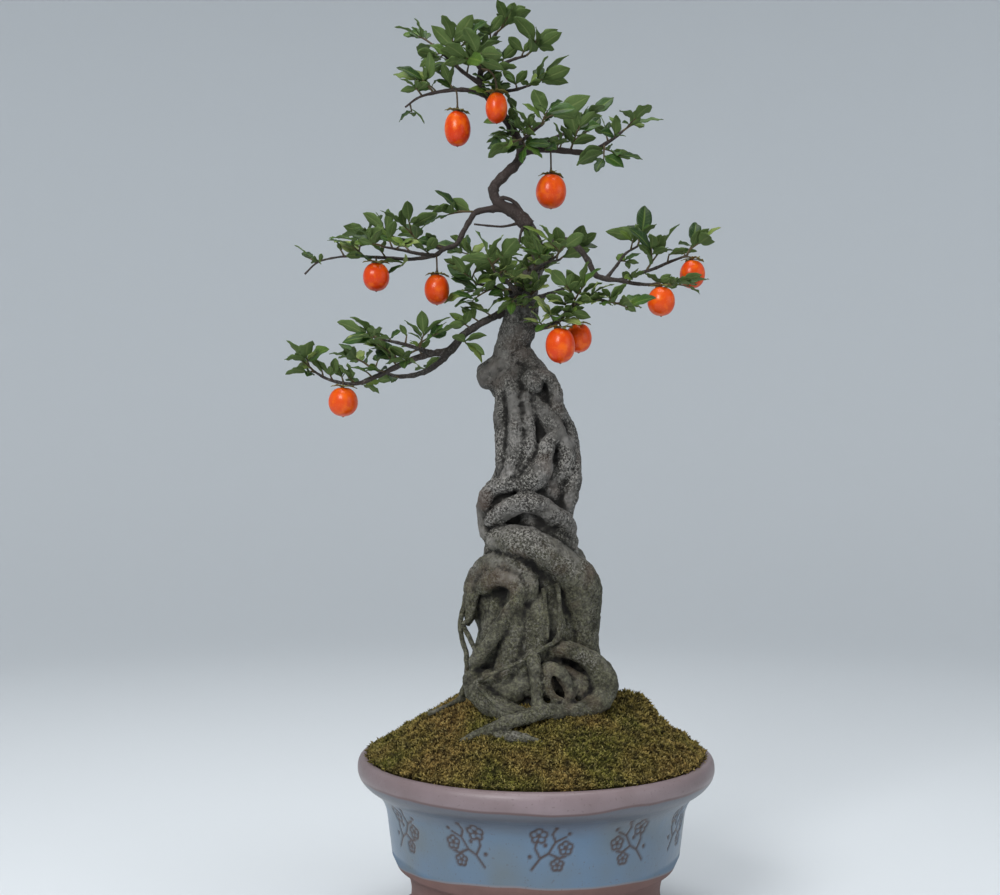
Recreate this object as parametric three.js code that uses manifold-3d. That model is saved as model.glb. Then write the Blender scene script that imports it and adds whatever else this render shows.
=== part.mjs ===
// Chinese persimmon bonsai: a small-leaved persimmon with a braided root trunk, in a round glazed pot.
// Millimetres, +Z up, the origin at the centre of the pot's flat underside, the tree's front towards -Y.

import * as THREE from 'three';
import { mergeVertices } from 'three/addons/utils/BufferGeometryUtils.js';
import Module from 'manifold-3d';

const wasm = await Module();
wasm.setup();

// Driving dimensions
const GAP = 0.3; // between pieces that touch
const UP = new THREE.Vector3(0, 0, 1);
const SMALLEST = 1e-9; // below this a length or a determinant counts as nothing

const FOOT_RADIUS = 124;
const FOOT_HEIGHT = 8;
const WAIST_RADIUS = 105;
const WAIST_HEIGHT = 34;
const BAND_BOTTOM = 60;
const BAND_TOP = 98;
const BAND_RADIUS = 121.5;
const RIM_RADIUS = 150.4;
const RIM_INSIDE = 140;
const POT_HEIGHT = 147.5;
const POT_WALL = 9.5;
const POT_FLOOR = 14;
const POT_SIDES = 24; // of the pot, the soil and the moss
const DRAINS = 3;
const DRAIN_SIDES = 12;
const DRAIN_RADIUS = 9;
const DRAIN_RING = 52;

// The mound of moss: radius and height
const MOUND = [[42, 203], [64, 193], [90, 178], [112, 165], [129, 155], [138, 149]];
const MOSS_THICKNESS = 6;
const SOIL_LEVEL = 164; // under the trunk, where the roots lie in the moss

const ROOT_RING_SPACING = 32;
const LIMB_RING_SPACING = 22;
const THICK_SIDES = 6;
const THIN_SIDES = 4;
const TWIG_SIDES = 3;
const THICK = 5; // radius where a root or limb gets its full number of sides
const THIN = 2.5;
const SHOOT_SIDES = 3;
const SHOOT_RADIUS = 1;

const LEAF_LENGTH = [20, 30];
const LEAF_WIDTH = 0.5; // of its length
const LEAF_ROLL = 1.2;
const LEAF_LIFT = [-0.2, 0.8];
const LEAF_STATIONS = [[0, 0], [0.32, 0.44], [0.7, 0.46], [1, 0]]; // along it, and half its width there
const LEAF_RISE = 0.2;
const LEAF_DROOP = 0.26;
const LEAF_THICKNESS = 0.7;
const LEAF_CLEARANCE = 0.7;
const LEAF_TRIES = 16;
const LEAF_SHRINK = 0.025; // at each try
const SIDE_SHOOT_PLACE = 0.35; // along the main shoot
const SIDE_SHOOT_REACH = [10, 0.32]; // and that share of the main shoot's own
const SHOOT_RISE = 0.1; // of its reach
const MAIN_BUDS = [0.22, 0.42, 0.6, 0.76, 0.92];
const SIDE_BUDS = [0.45, 0.7, 0.9];

const FRUIT_SIDES = 8;
const FRUIT_RINGS = 5;
const CALYX_REACH = 9.5;
const CALYX_THICKNESS = 0.8;
const STALK_RADIUS = 0.75;

// Roots that grew round each other into the trunk: points x, y, z and the root's radius there
const ROOTS = {
  heartwood: [
    [2, -5, 122, 30], [2, -5, 146, 42], [0, -4, 168, 46], [-2, -4, 192, 46], [-2, -3, 234, 40],
    [0, -2, 277, 37], [1, -1, 310, 34], [2, 0, 344, 31], [3, 0, 378, 28], [3, 0, 412, 25], [0, 0, 442, 21],
    [-14, 0, 465, 17],
  ],
  left_core: [
    [-12, -4, 452, 14], [-14, -5, 420, 16], [-15, -5, 390, 18], [-24, -5, 362, 18], [-22, -6, 335, 17],
    [-28, -8, 308, 18], [-30, -10, 284, 18], [-25, -12, 262, 20], [-27, -14, 236, 22], [-30, -16, 205, 24],
  ],
  left_inner: [
    [-16, -28, 290, 9], [-17, -34, 272, 10], [-18, -37, 254, 11], [-21, -39, 236, 11.5],
    [-26, -40, 214, 11],
  ],
  toe_bed: [[-40, -38, 214, 10], [-24, -42, 205, 12], [-10, -44, 212, 12], [4, -44, 210, 12]],
  loop_bed: [[8, -36, 226, 12], [22, -38, 216, 12], [34, -38, 208, 12]],
  right_limb: [
    [-31, -24, 329, 10.5], [-18, -31, 328, 12.5], [-3, -35, 324, 14], [12, -33, 315, 15.5],
    [25, -27, 304, 17], [35, -21, 290, 18.5], [37, -16, 270, 18], [37, -14, 250, 17.5], [37, -13, 230, 17],
    [40, -12, 205, 16],
  ],
  arch: [
    [-37, -19, 345, 6], [-30, -26, 350, 7.5], [-22, -30, 356, 8.5], [-11, -34, 360, 8.7],
    [2, -34, 358, 8.7], [11, -31, 352, 8.5], [20, -25, 346, 8.5], [25, -17, 339, 8.5], [27, -8, 330, 8],
    [25, 4, 318, 7],
  ],
  left_ring: [
    [-10, -25, 378, 7], [-22, -26, 375, 7.5], [-34, -21, 373, 7.5], [-41, -15, 364, 7],
    [-44, -11, 353, 6.2], [-43, -10, 341, 6], [-40, -12, 331, 6], [-33, -15, 323, 6],
  ],
  slit_left: [
    [-27, -10, 458, 7.5], [-28, -14, 431, 7], [-28, -16, 404, 7], [-25, -18, 383, 7.5], [-20, -19, 372, 7],
  ],
  slit_middle: [
    [-22, -16, 462, 7], [-18, -22, 440, 7], [-17, -25, 415, 7.5], [-18, -26, 395, 8], [-25, -26, 378, 7.5],
  ],
  slit_right: [
    [-9, -22, 448, 5], [-6, -26, 430, 5], [-5, -28, 412, 4.6], [-8, -28, 398, 5], [-16, -27, 385, 6],
  ],
  eye_ring: [
    [-9, -14, 460, 5], [-6, -18, 464, 5], [-1, -19, 468, 5.2], [7, -19, 466, 5.4], [14, -19, 459, 5.6],
    [17, -20, 450, 6], [17, -19, 441, 6.5], [20, -16, 432, 7],
  ],
  right_shoulder: [
    [-5, -4, 473, 12], [7, -4, 455, 11], [12, -5, 443, 11], [18, -7, 431, 12], [24, -8, 418, 12.5],
    [25, -9, 405, 12.5], [26, -8, 388, 12], [26, -6, 370, 11], [24, -4, 350, 10],
  ],
  shoulder_front: [
    [-2, -17, 445, 6.5], [6, -20, 435, 8], [13, -21, 424, 8.7], [19, -22, 415, 8.5], [24, -22, 404, 8],
    [25, -21, 394, 7.5], [22, -19, 384, 7],
  ],
  front_cord: [
    [15, -26, 415, 6.5], [9, -29, 406, 7.2], [7, -30, 397, 8], [4, -31, 387, 10], [-2, -30, 380, 10],
    [-10, -27, 374, 8],
  ],
  right_cord: [[27, -16, 399, 6], [31, -18, 385, 6], [30, -19, 370, 6], [26, -18, 356, 6]],
  burl: [[-14, 0, 480, 15], [-29, -2, 472, 15], [-38, -3, 468, 13.5]],
  dome_high: [
    [-57, -14, 258, 3], [-55, -13, 268, 6], [-54, -13, 280, 7.5], [-51, -15, 294, 8], [-45, -20, 304, 8],
    [-34, -27, 309, 8.5], [-22, -33, 310, 8.5], [-13, -36, 305, 8], [-7, -37, 296, 7.5], [-6, -36, 286, 7],
    [-9, -33, 276, 6],
  ],
  dome_low: [
    [-44, -25, 289, 7], [-35, -30, 296, 8], [-23, -36, 297, 8.5], [-16, -39, 289, 8], [-17, -41, 279, 6.8],
    [-23, -43, 271, 6], [-30, -45, 259, 5.8], [-37, -45, 248, 5.8], [-44, -43, 239, 6],
    [-50, -38, 229, 6.5],
  ],
  left_flank: [
    [-46, -4, 296, 11], [-47, -5, 277, 11], [-42, -5, 263, 10], [-38, -5, 250, 10], [-41, -7, 236, 10.5],
    [-46, -10, 214, 11.5], [-49, -14, 188, 11],
  ],
  hollow_column: [
    [4, -27, 287, 7.5], [1, -32, 275, 10], [-1, -37, 262, 12], [-2, -39, 248, 12.5], [-5, -42, 236, 11],
    [-11, -45, 222, 9],
  ],
  loop_foot: [
    [11, -40, 239, 7], [22, -43, 240, 7.5], [35, -44, 236, 8.5], [47, -42, 228, 10.5], [54, -40, 216, 12],
    [55, -42, 205, 11.5], [49, -49, 197, 9], [34, -56, 193, 7], [18, -60, 192, 6.8], [7, -63, 193, 6.5],
  ],
  middle_toe: [
    [-5, -47, 238, 6], [-3, -56, 232, 5.5], [-2, -59, 224, 5], [-1, -61, 213, 4.8], [0, -64, 201, 5],
    [2, -68, 192, 5.5],
  ],
  curl_high: [
    [3, -50, 222, 4.5], [12, -52, 226, 5], [19, -53, 222, 5], [24, -52, 213, 5], [27, -52, 202, 4.5],
  ],
  front_toe: [
    [10, -64, 195, 5], [-2, -70, 192, 6], [-13, -74, 189, 6], [-25, -76, 186, 6], [-37, -77, 182, 5.5],
    [-48, -77, 178, 4.5], [-60, -76, 171, 3.5],
  ],
  left_toe: [
    [-52, -36, 214, 9], [-47, -46, 204, 10], [-38, -54, 196, 10], [-26, -60, 191, 9], [-14, -63, 189, 7],
  ],
  surface_root: [[-54, -16, 203, 7], [-65, -16, 194, 3.5], [-77, -17, 188, 2.4], [-89, -18, 183, 1.8]],
  back_descending: [
    [30, 24, 308, 13], [18, 36, 281, 14], [-12, 38, 252, 14], [-38, 33, 226, 13], [-50, 32, 196, 12],
    [-60, 40, 176, 8],
  ],
  back_crossing: [
    [-30, 20, 326, 10], [-18, 34, 307, 12], [10, 38, 278, 12], [33, 32, 244, 13], [42, 28, 212, 13],
    [52, 34, 180, 9],
  ],
  back_left_turn: [
    [6, 16, 449, 10], [11, 24, 413, 11], [-2, 28, 376, 12], [-24, 25, 343, 12], [-28, 28, 308, 12],
  ],
  back_right_turn: [
    [-16, 12, 462, 9], [-20, 18, 430, 10], [-9, 26, 395, 10], [14, 27, 360, 11], [26, 20, 326, 11],
  ],
  back_toe_right: [[23, 41, 236, 10], [17, 54, 203, 10], [12, 64, 185, 8], [8, 74, 176, 5]],
  back_toe_left: [[-23, 42, 236, 9], [-29, 53, 203, 9], [-37, 62, 185, 7], [-46, 71, 175, 4]],
  right_flank: [[42, 8, 276, 9], [44, 10, 241, 10], [50, 12, 210, 11], [62, 16, 182, 7]],
};

// The stem above the trunk and its woody limbs, each from inside the one that carries it
const LIMBS = {
  stem: [
    [-20, 0, 463, 20], [-21, 0, 486, 16], [-14, 0, 510, 14.5], [-11, 0, 530, 12.5], [-5, 1, 550, 9.5],
    [0, 2, 568, 7.4], [0, 2, 581, 6], [-6, 0, 594, 5.6], [-17, -2, 605, 5.4], [-30, -3, 612, 4.8],
    [-35, -2, 620, 4.3], [-35, 0, 628, 4.2], [-25.5, 2, 639, 4.2], [-16.5, 4, 648, 4.1], [-12, 5, 658, 4],
    [-16, 4, 671, 3.8], [-24, 2, 684, 3.6], [-33, 0, 695, 3.4], [-41, 0, 705, 3.2], [-47, 2, 716, 2.8],
    [-46, 4, 732, 2.2], [-40, 4, 749, 1.7], [-33, 3, 760, 1.3],
  ],
  low_left: [
    [-18, 0, 523, 3.8], [-30, -4, 519, 3.2], [-47, -10, 510, 3], [-61, -14, 500, 3.1], [-72, -16, 487, 3.6],
    [-86, -20, 484, 2.8], [-102, -24, 479, 2.6], [-117, -26, 472, 2.3], [-132, -24, 465, 2],
    [-149, -20, 459, 1.7], [-164, -16, 460, 1.4], [-177, -14, 464, 1.2], [-187, -12, 470, 1],
  ],
  low_left_back: [
    [-72, -16, 487, 2.9], [-81, -8, 478, 2.6], [-94, 4, 471, 2.3], [-110, 16, 468, 2], [-126, 28, 470, 1.6],
    [-145, 40, 478, 1.2],
  ],
  low_left_front: [[-86, -20, 484, 2.1], [-96, -36, 486, 1.7], [-110, -50, 489, 1.4], [-124, -60, 491, 1]],
  mid_left: [
    [-24, -3, 609, 3.2], [-37, -4, 608, 2.8], [-50, -6, 605, 2.5], [-56, -8, 597, 2.3], [-61, -9, 588, 2.2],
    [-67, -10, 577, 2.2], [-77, -11, 573, 2], [-86, -12, 567, 1.7], [-105, -13, 564, 1.5],
    [-123, -13, 565, 1.4], [-138, -12, 566, 1.2], [-152, -11, 567, 1], [-168, -10, 566, 0.9],
    [-184, -9, 562, 0.8], [-195, -9, 552, 0.8],
  ],
  mid_left_back: [
    [-77, -11, 573, 1.9], [-92, 6, 580, 1.6], [-108, 22, 586, 1.4], [-125, 34, 590, 1.2],
    [-140, 42, 591, 0.9],
  ],
  mid_left_front: [
    [-86, -12, 567, 1.6], [-98, -28, 566, 1.4], [-112, -40, 567, 1.1], [-125, -48, 568, 0.9],
  ],
  upper_right: [
    [-12, 5, 658, 3.2], [0, 2, 660, 2.9], [12, -2, 659, 2.6], [27, -4, 657, 2.4], [42, -4, 656, 2.2],
    [55, -3, 661, 1.8], [67, -2, 669, 1.4], [74, 0, 675, 1.1],
  ],
  upper_right_back: [[0, 2, 660, 2.1], [9, 18, 670, 1.7], [22, 32, 680, 1.4], [37, 42, 688, 1]],
  upper_right_front: [[-12, 5, 658, 2.2], [-12, -14, 662, 1.7], [-5, -30, 665, 1.4], [4, -42, 669, 1]],
  mid_right: [
    [0, 2, 568, 3.2], [12, 8, 580, 2.9], [26, 10, 584, 2.7], [37, 8, 577, 2.6], [45, 6, 566, 2.5],
    [51, 4, 554, 2.4], [60, 3, 550, 2.2], [72, 0, 548, 1.8], [83, -4, 545, 1.6], [96, -10, 543, 1.3],
    [107, -16, 542, 1],
  ],
  mid_right_up: [[60, 3, 550, 1.5], [69, 6, 561, 1.3], [77, 8, 572, 1.1], [88, 10, 579, 0.9]],
  mid_right_back: [
    [72, 0, 548, 1.7], [85, 8, 554, 1.5], [102, 12, 560, 1.4], [118, 14, 567, 1.2], [131, 15, 572, 0.9],
  ],
  low_right: [
    [-10, -4, 516, 3.1], [-2, -14, 506, 2.6], [7, -22, 506, 2.2], [17, -28, 509, 2.1], [26, -32, 518, 1.7],
    [36, -36, 524, 1.5], [49, -40, 526, 1.2], [60, -42, 524, 1],
  ],
  low_right_back: [[-6, 4, 532, 2.6], [6, 18, 537, 2.1], [21, 32, 544, 1.6], [35, 44, 551, 1.1]],
  centre_front: [[-11, 0, 531, 3.4], [-17, -20, 536, 2.2], [-25, -38, 542, 1.7], [-35, -52, 548, 1.2]],
  centre_right: [[-5, 1, 550, 2.9], [0, -16, 555, 2.1], [8, -32, 558, 1.5], [16, -44, 561, 1]],
  centre_left: [[-10, 0, 533, 2.9], [-26, -8, 539, 2.1], [-40, -16, 541, 1.5], [-50, -22, 542, 1.1]],
  centre_back_left: [[-8, 2, 540, 3.1], [-22, 22, 555, 2.2], [-35, 40, 566, 1.7], [-48, 54, 573, 1.1]],
  centre_back_right: [[-5, 4, 547, 2.9], [5, 24, 560, 2.1], [14, 42, 570, 1.5], [23, 54, 575, 1.1]],
  apex_left: [
    [-41, 0, 705, 2.2], [-56, -6, 708, 1.9], [-71, -10, 707, 1.6], [-86, -12, 704, 1.4], [-99, -12, 700, 1],
    [-110, -12, 692, 0.8],
  ],
  apex_up_left: [[-47, 2, 716, 1.9], [-61, 0, 725, 1.6], [-73, -2, 735, 1.4], [-84, -3, 745, 1.1]],
  apex_right: [[-41, 0, 705, 1.9], [-30, -4, 707, 1.5], [-17, -8, 708, 1.3], [-5, -10, 711, 0.9]],
  apex_up_right: [[-46, 2, 719, 1.9], [-34, 0, 729, 1.5], [-20, -2, 735, 1.3], [-8, -4, 738, 1]],
  apex_back: [[-46, 3, 726, 1.7], [-49, 20, 740, 1.4], [-53, 34, 751, 1]],
  apex_front: [[-46, 2, 721, 1.7], [-47, -18, 722, 1.4], [-52, -32, 724, 1]],
  bare_twig_left: [[-10, -1, 598, 1.5], [-26, -6, 593, 1], [-39, -8, 593, 0.9], [-52, -10, 594, 0.8]],
  bare_twig_down: [[-10, -1, 596, 1.4], [-13, -8, 585, 1], [-15, -12, 572, 0.9]],
  loop_twig: [
    [-34, -2, 611, 1.8], [-29, -5, 617, 1.6], [-20, -5, 615, 1.6], [-13, -5, 608, 1.6], [-9, -4, 600, 1.8],
    [-6, -1, 592, 2],
  ],
};

// Leafy sprays: the limb, how far along it the shoot leaves, and where the shoot ends
const SPRAYS = [
  ['apex_up_left', 1, [-100, -6, 754]],
  ['apex_up_left', 0.5, [-70, -22, 746]],
  ['stem', 1, [-23, 2, 767]],
  ['apex_back', 1, [-50, 50, 771]],
  ['apex_up_right', 1, [4, -8, 745]],
  ['apex_right', 1, [6, -14, 715]],
  ['apex_left', 0.6, [-95, -22, 712]],
  ['apex_front', 1, [-58, -48, 721]],
  ['upper_right_front', 0.45, [-26, -26, 656]],
  ['upper_right_front', 1, [8, -56, 676]],
  ['upper_right_back', 1, [46, 54, 701]],
  ['upper_right', 0.45, [37, -14, 676]],
  ['upper_right', 1, [84, 0, 681]],
  ['upper_right', 0.75, [57, -14, 647]],
  ['mid_left_back', 1, [-152, 54, 598]],
  ['mid_left_back', 0.4, [-114, 12, 598]],
  ['mid_left', 0.14, [-76, -12, 601]],
  ['mid_left', 0.75, [-155, -22, 574]],
  ['mid_left_front', 1, [-133, -60, 568]],
  ['centre_left', 1, [-60, -34, 549]],
  ['centre_left', 0.5, [-53, -28, 527]],
  ['centre_front', 1, [-40, -66, 556]],
  ['centre_right', 1, [22, -56, 567]],
  ['centre_back_left', 1, [-57, 68, 583]],
  ['centre_back_right', 1, [35, 66, 584]],
  ['low_right', 1, [74, -48, 518]],
  ['low_right', 0.6, [38, -50, 536]],
  ['mid_right_up', 1, [92, 12, 590]],
  ['mid_right_back', 1, [137, 20, 583]],
  ['mid_right', 1, [127, -20, 540]],
  ['mid_right_back', 0.4, [109, 2, 576]],
  ['low_left', 1, [-197, -16, 479]],
  ['low_left', 0.55, [-131, -36, 490]],
  ['low_left_back', 1, [-160, 50, 487]],
  ['low_left_front', 1, [-134, -70, 492]],
  ['low_left_front', 0.35, [-92, -50, 497]],
];

// Fruits: the limb and place that the stalk hangs from, then the fruit's centre, radius and half height
const FRUITS = [
  ['apex_left', 0.36, [-66, -12, 674], 10.9, 14.7],
  ['apex_front', 0.5, [-33, -24, 688], 9.1, 12.7],
  ['upper_right', 0.29, [13, -4, 623], 13, 14.4],
  ['mid_left', 0.7, [-133, -26, 547], 11.1, 11.7],
  ['mid_left', 0.49, [-83, -16, 538], 10.5, 12.6],
  ['low_left', 0.82, [-160, -30, 443], 12, 12],
  ['low_right', 0.4, [19, -46, 488], 11.9, 14.3],
  ['low_right', 0.57, [35.5, -20, 497], 10.8, 12.1],
  ['mid_right', 0.9, [103, -31, 526], 11.2, 12],
  ['mid_right_back', 0.9, [134, 4, 554], 10.8, 12],
];

// Colours and finishes
const paint = (color, roughness) => new THREE.MeshStandardMaterial({ color, roughness, metalness: 0 });
const glaze = paint(0x7b8793, 0.35);
const earth = paint(0x3a2a1c, 0.95);
const mossGreen = paint(0x50472b, 0.95);
const bark = paint(0x53514f, 0.85);
const leafGreen = paint(0x4a6339, 0.5);
const fruitSkin = paint(0xd25118, 0.35);
const calyxGreen = paint(0x4c4a25, 0.7);

// A closed geometry as a solid that can be joined and cut
function solidOf(geometry) {
  geometry.deleteAttribute('normal');
  geometry.deleteAttribute('uv');
  const merged = mergeVertices(geometry, 1e-4);
  const corners = merged.index.array;
  const triangles = [];
  for (let i = 0; i < corners.length; i += 3) {
    const [a, b, c] = corners.subarray(i, i + 3);
    if (a !== b && b !== c && c !== a) triangles.push(a, b, c);
  }
  return new wasm.Manifold(new wasm.Mesh({
    numProp: 3,
    vertProperties: new Float32Array(merged.attributes.position.array),
    triVerts: new Uint32Array(triangles),
  }));
}

// The largest body of a solid, without the scraps and the closed hollows that joining and cutting leave
function wholeOf(solid) {
  const bodies = solid.decompose();
  return bodies.reduce((largest, body) => (body.volume() > largest.volume() ? body : largest));
}

function joined(solids) {
  return solids.reduce((whole, solid) => whole.add(solid));
}

function meshOf(name, solid, material) {
  const { vertProperties, triVerts } = solid.getMesh();
  const geometry = new THREE.BufferGeometry();
  geometry.setAttribute('position', new THREE.BufferAttribute(vertProperties, 3));
  geometry.setIndex(new THREE.BufferAttribute(triVerts, 1));
  geometry.computeVertexNormals();
  const mesh = new THREE.Mesh(geometry, material);
  mesh.name = name;
  return mesh;
}

// A profile of radius and height turned about the vertical axis
function turned(profile, sides) {
  const points = profile.map(([radius, height]) => new THREE.Vector2(radius, height));
  return solidOf(new THREE.LatheGeometry(points, sides).rotateX(Math.PI / 2));
}

function curveThrough(points) {
  const places = points.map(([x, y, z]) => new THREE.Vector3(x, y, z));
  return new THREE.CatmullRomCurve3(places, false, 'catmullrom');
}

function radiusAt(points, share) {
  const place = share * (points.length - 1);
  const index = Math.min(Math.floor(place), points.length - 2);
  return THREE.MathUtils.lerp(points[index][3], points[index + 1][3], place - index);
}

// A round strand along its points with a ring for each step, made larger by grown to cut its neighbours
function strand(points, sides, steps, grown = 0) {
  const curve = curveThrough(points);
  const { tangents, normals, binormals } = curve.computeFrenetFrames(steps);
  const geometry = new THREE.CylinderGeometry(1, 1, 1, sides, steps);
  const position = geometry.attributes.position;
  for (let i = 0; i < position.count; i += 1) {
    const ring = Math.round((position.getY(i) + 0.5) * steps);
    const share = curve.getUtoTmapping(ring / steps);
    const radius = radiusAt(points, share) + grown;
    const overrun = (ring === steps ? grown : 0) - (ring === 0 ? grown : 0);
    const place = curve.getPoint(share)
      .addScaledVector(tangents[ring], overrun)
      .addScaledVector(binormals[ring], position.getX(i) * radius)
      .addScaledVector(normals[ring], position.getZ(i) * radius);
    position.setXYZ(i, place.x, place.y, place.z);
  }
  return solidOf(geometry);
}

// A root or limb, with a ring about every spacing and fewer sides where it is thin
function woodStrand(points, spacing, grown) {
  const widest = Math.max(...points.map((point) => point[3]));
  const thinSides = widest > THIN ? THIN_SIDES : TWIG_SIDES;
  const steps = Math.max(2, Math.round(curveThrough(points).getLength() / spacing));
  return strand(points, widest > THICK ? THICK_SIDES : thinSides, steps, grown);
}

function woodGrown(grown) {
  const roots = Object.values(ROOTS).map((points) => woodStrand(points, ROOT_RING_SPACING, grown));
  const limbs = Object.values(LIMBS).map((points) => woodStrand(points, LIMB_RING_SPACING, grown));
  return wholeOf(joined([...roots, ...limbs]));
}

// The pot: a flared bowl on a spreading foot, with a rolled rim and three drain holes
function potSolid() {
  const outline = new THREE.Path();
  outline.moveTo(FOOT_RADIUS, 0);
  outline.lineTo(FOOT_RADIUS, FOOT_HEIGHT);
  outline.quadraticCurveTo(WAIST_RADIUS, FOOT_HEIGHT + 4, WAIST_RADIUS, WAIST_HEIGHT);
  outline.quadraticCurveTo(WAIST_RADIUS + 1, WAIST_HEIGHT + 18, BAND_RADIUS - 4, BAND_BOTTOM - 3);
  outline.lineTo(BAND_RADIUS, BAND_BOTTOM + 6);
  outline.lineTo(BAND_RADIUS + 4, BAND_TOP);
  outline.quadraticCurveTo(BAND_RADIUS + 6, BAND_TOP + 15, RIM_RADIUS - 13, BAND_TOP + 23);
  outline.quadraticCurveTo(RIM_RADIUS, BAND_TOP + 30, RIM_RADIUS, POT_HEIGHT - 9.5);
  outline.quadraticCurveTo(RIM_RADIUS, POT_HEIGHT, RIM_RADIUS - 6, POT_HEIGHT);
  outline.quadraticCurveTo(RIM_INSIDE, POT_HEIGHT, RIM_INSIDE - 1, POT_HEIGHT - 6);
  const inside = [
    [RIM_INSIDE - 9, BAND_TOP + 24], [BAND_RADIUS - POT_WALL, BAND_TOP],
    [BAND_RADIUS - POT_WALL, BAND_BOTTOM], [WAIST_RADIUS - POT_WALL, WAIST_HEIGHT],
    [WAIST_RADIUS - POT_WALL, POT_FLOOR], [0, POT_FLOOR],
  ];
  const outside = outline.getPoints(2).map(({ x, y }) => [x, y]);
  let pot = turned([[0, 0], ...outside, ...inside], POT_SIDES);
  for (let hole = 0; hole < DRAINS; hole += 1) {
    const angle = (hole * 2 * Math.PI) / DRAINS;
    const bore = new THREE.CylinderGeometry(DRAIN_RADIUS, DRAIN_RADIUS, 4 * POT_FLOOR, DRAIN_SIDES);
    bore.rotateX(Math.PI / 2);
    bore.translate(DRAIN_RING * Math.cos(angle), DRAIN_RING * Math.sin(angle), 0);
    pot = pot.subtract(solidOf(bore));
  }
  return pot;
}

// The soil's surface under the moss, from the middle to the pot's rim
function soilLine(depth) {
  return MOUND.map(([radius, height]) => [radius, Math.min(height - MOSS_THICKNESS, SOIL_LEVEL) - depth]);
}

// The soil: it fills the pot and rises as a low mound, level under the trunk, with a plain hole for its foot
function soilSolid() {
  const clear = POT_WALL + GAP + 0.2;
  const side = [
    [WAIST_RADIUS - clear, POT_FLOOR + GAP], [WAIST_RADIUS - clear, WAIST_HEIGHT],
    [BAND_RADIUS - clear, BAND_BOTTOM + GAP], [BAND_RADIUS - clear, BAND_TOP + GAP],
    [RIM_INSIDE - 10, BAND_TOP + 24],
  ];
  const surface = soilLine(GAP).reverse();
  const hole = woodStrand(ROOTS.heartwood, ROOT_RING_SPACING, GAP);
  const profile = [[0, POT_FLOOR + GAP], ...side, ...surface, [0, SOIL_LEVEL - GAP]];
  return turned(profile, POT_SIDES).subtract(hole);
}

// The moss: a skin over the mound, open in the middle where the trunk stands
function mossSolid(rootHoles) {
  const underside = soilLine(0);
  const profile = [...underside, ...[...MOUND].reverse(), underside[0]];
  return wholeOf(turned(profile, POT_SIDES).subtract(rootHoles));
}

// A seeded draw between low and high, one generator for each leaf, so that a layout is always the same
function drawing(seed) {
  let state = seed;
  const next = () => {
    state = (state * 16807) % 2147483647;
    return state / 2147483647;
  };
  next();
  next();
  return (low, high) => low + (high - low) * next();
}

// A shoot that rises a little between its ends
function shootCurve(from, to) {
  const middle = from.clone().lerp(to, 0.5).addScaledVector(UP, SHOOT_RISE * from.distanceTo(to));
  return new THREE.QuadraticBezierCurve3(from, middle, to);
}

// The shoots of one spray: the main one and a side shoot, level with the ground, to the left or right of it
function shootsOf([limb, share, end], number) {
  const main = shootCurve(curveThrough(LIMBS[limb]).getPoint(share), new THREE.Vector3(...end));
  const ahead = main.v2.clone().sub(main.v0);
  const reach = ahead.length();
  ahead.normalize();
  const across = ahead.clone().cross(UP).normalize();
  const draw = drawing(7001 + 131 * number);
  const from = main.getPoint(SIDE_SHOOT_PLACE);
  const heading = ahead.clone().multiplyScalar(draw(0.4, 0.7))
    .addScaledVector(across, (-1) ** number * draw(0.75, 0.95))
    .addScaledVector(UP, draw(0, 0.3))
    .normalize();
  const [least, ofMain] = SIDE_SHOOT_REACH;
  const to = from.clone().addScaledVector(heading, least + ofMain * reach * draw(0.8, 1.2));
  return [main, shootCurve(from, to)];
}

// The buds of one spray: its shoot, how far along it, and the side that the leaf turns to (0 at the tip)
function budsOf(shoots) {
  return shoots.flatMap((shoot, index) => {
    const places = index === 0 ? MAIN_BUDS : SIDE_BUDS;
    return places.map((place, order) => {
      const tip = order === places.length - 1;
      return { shoot, place, hand: tip ? 0 : (-1) ** (order + index) };
    });
  });
}

// A leaf blade: where it starts, its directions, its length, and the corners of its surface
function bladeAt({ shoot, place, hand }, draw, shrink) {
  const base = shoot.getPoint(place);
  const along = shoot.getTangent(place);
  const beside = along.clone().cross(UP).normalize();
  const turn = hand * draw(0.7, 1.25) + (hand === 0 ? draw(-0.35, 0.35) : 0);
  const heading = along.multiplyScalar(Math.cos(turn))
    .addScaledVector(beside, Math.sin(turn))
    .addScaledVector(UP, draw(...LEAF_LIFT))
    .normalize();
  const level = UP.clone().addScaledVector(heading, -UP.dot(heading)).normalize();
  const face = level.applyAxisAngle(heading, draw(-LEAF_ROLL, LEAF_ROLL));
  const side = face.clone().cross(heading);
  const length = draw(...LEAF_LENGTH) * shrink;
  const blade = { base, heading, face, side, length };
  blade.corners = [[0, 0], [-1, 1], [1, 1], [-1, 2], [1, 2], [0, 3]].map(([edge, station]) => (
    onBlade(blade, edge, station)
  ));
  return blade;
}

// A place on the leaf: across it from edge -1 to 1, and at one of its four stations from base to tip
function onBlade({ base, heading, face, side, length }, across, station) {
  const [share, halfWidth] = LEAF_STATIONS[station];
  return base.clone()
    .addScaledVector(heading, share * length)
    .addScaledVector(side, halfWidth * LEAF_WIDTH * length * across)
    .addScaledVector(face, length * share * (LEAF_RISE - LEAF_DROOP * share));
}

// A leaf blade: a thin box pinched to a point at both ends and arched along its midrib
function bladeSolid(blade) {
  const geometry = new THREE.BoxGeometry(2, 1, 3, 1, 1, 3);
  const position = geometry.attributes.position;
  for (let i = 0; i < position.count; i += 1) {
    const place = onBlade(blade, position.getX(i), Math.round(position.getZ(i) + 1.5))
      .addScaledVector(blade.face, position.getY(i) * LEAF_THICKNESS);
    position.setXYZ(i, place.x, place.y, place.z);
  }
  return solidOf(geometry);
}

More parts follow.
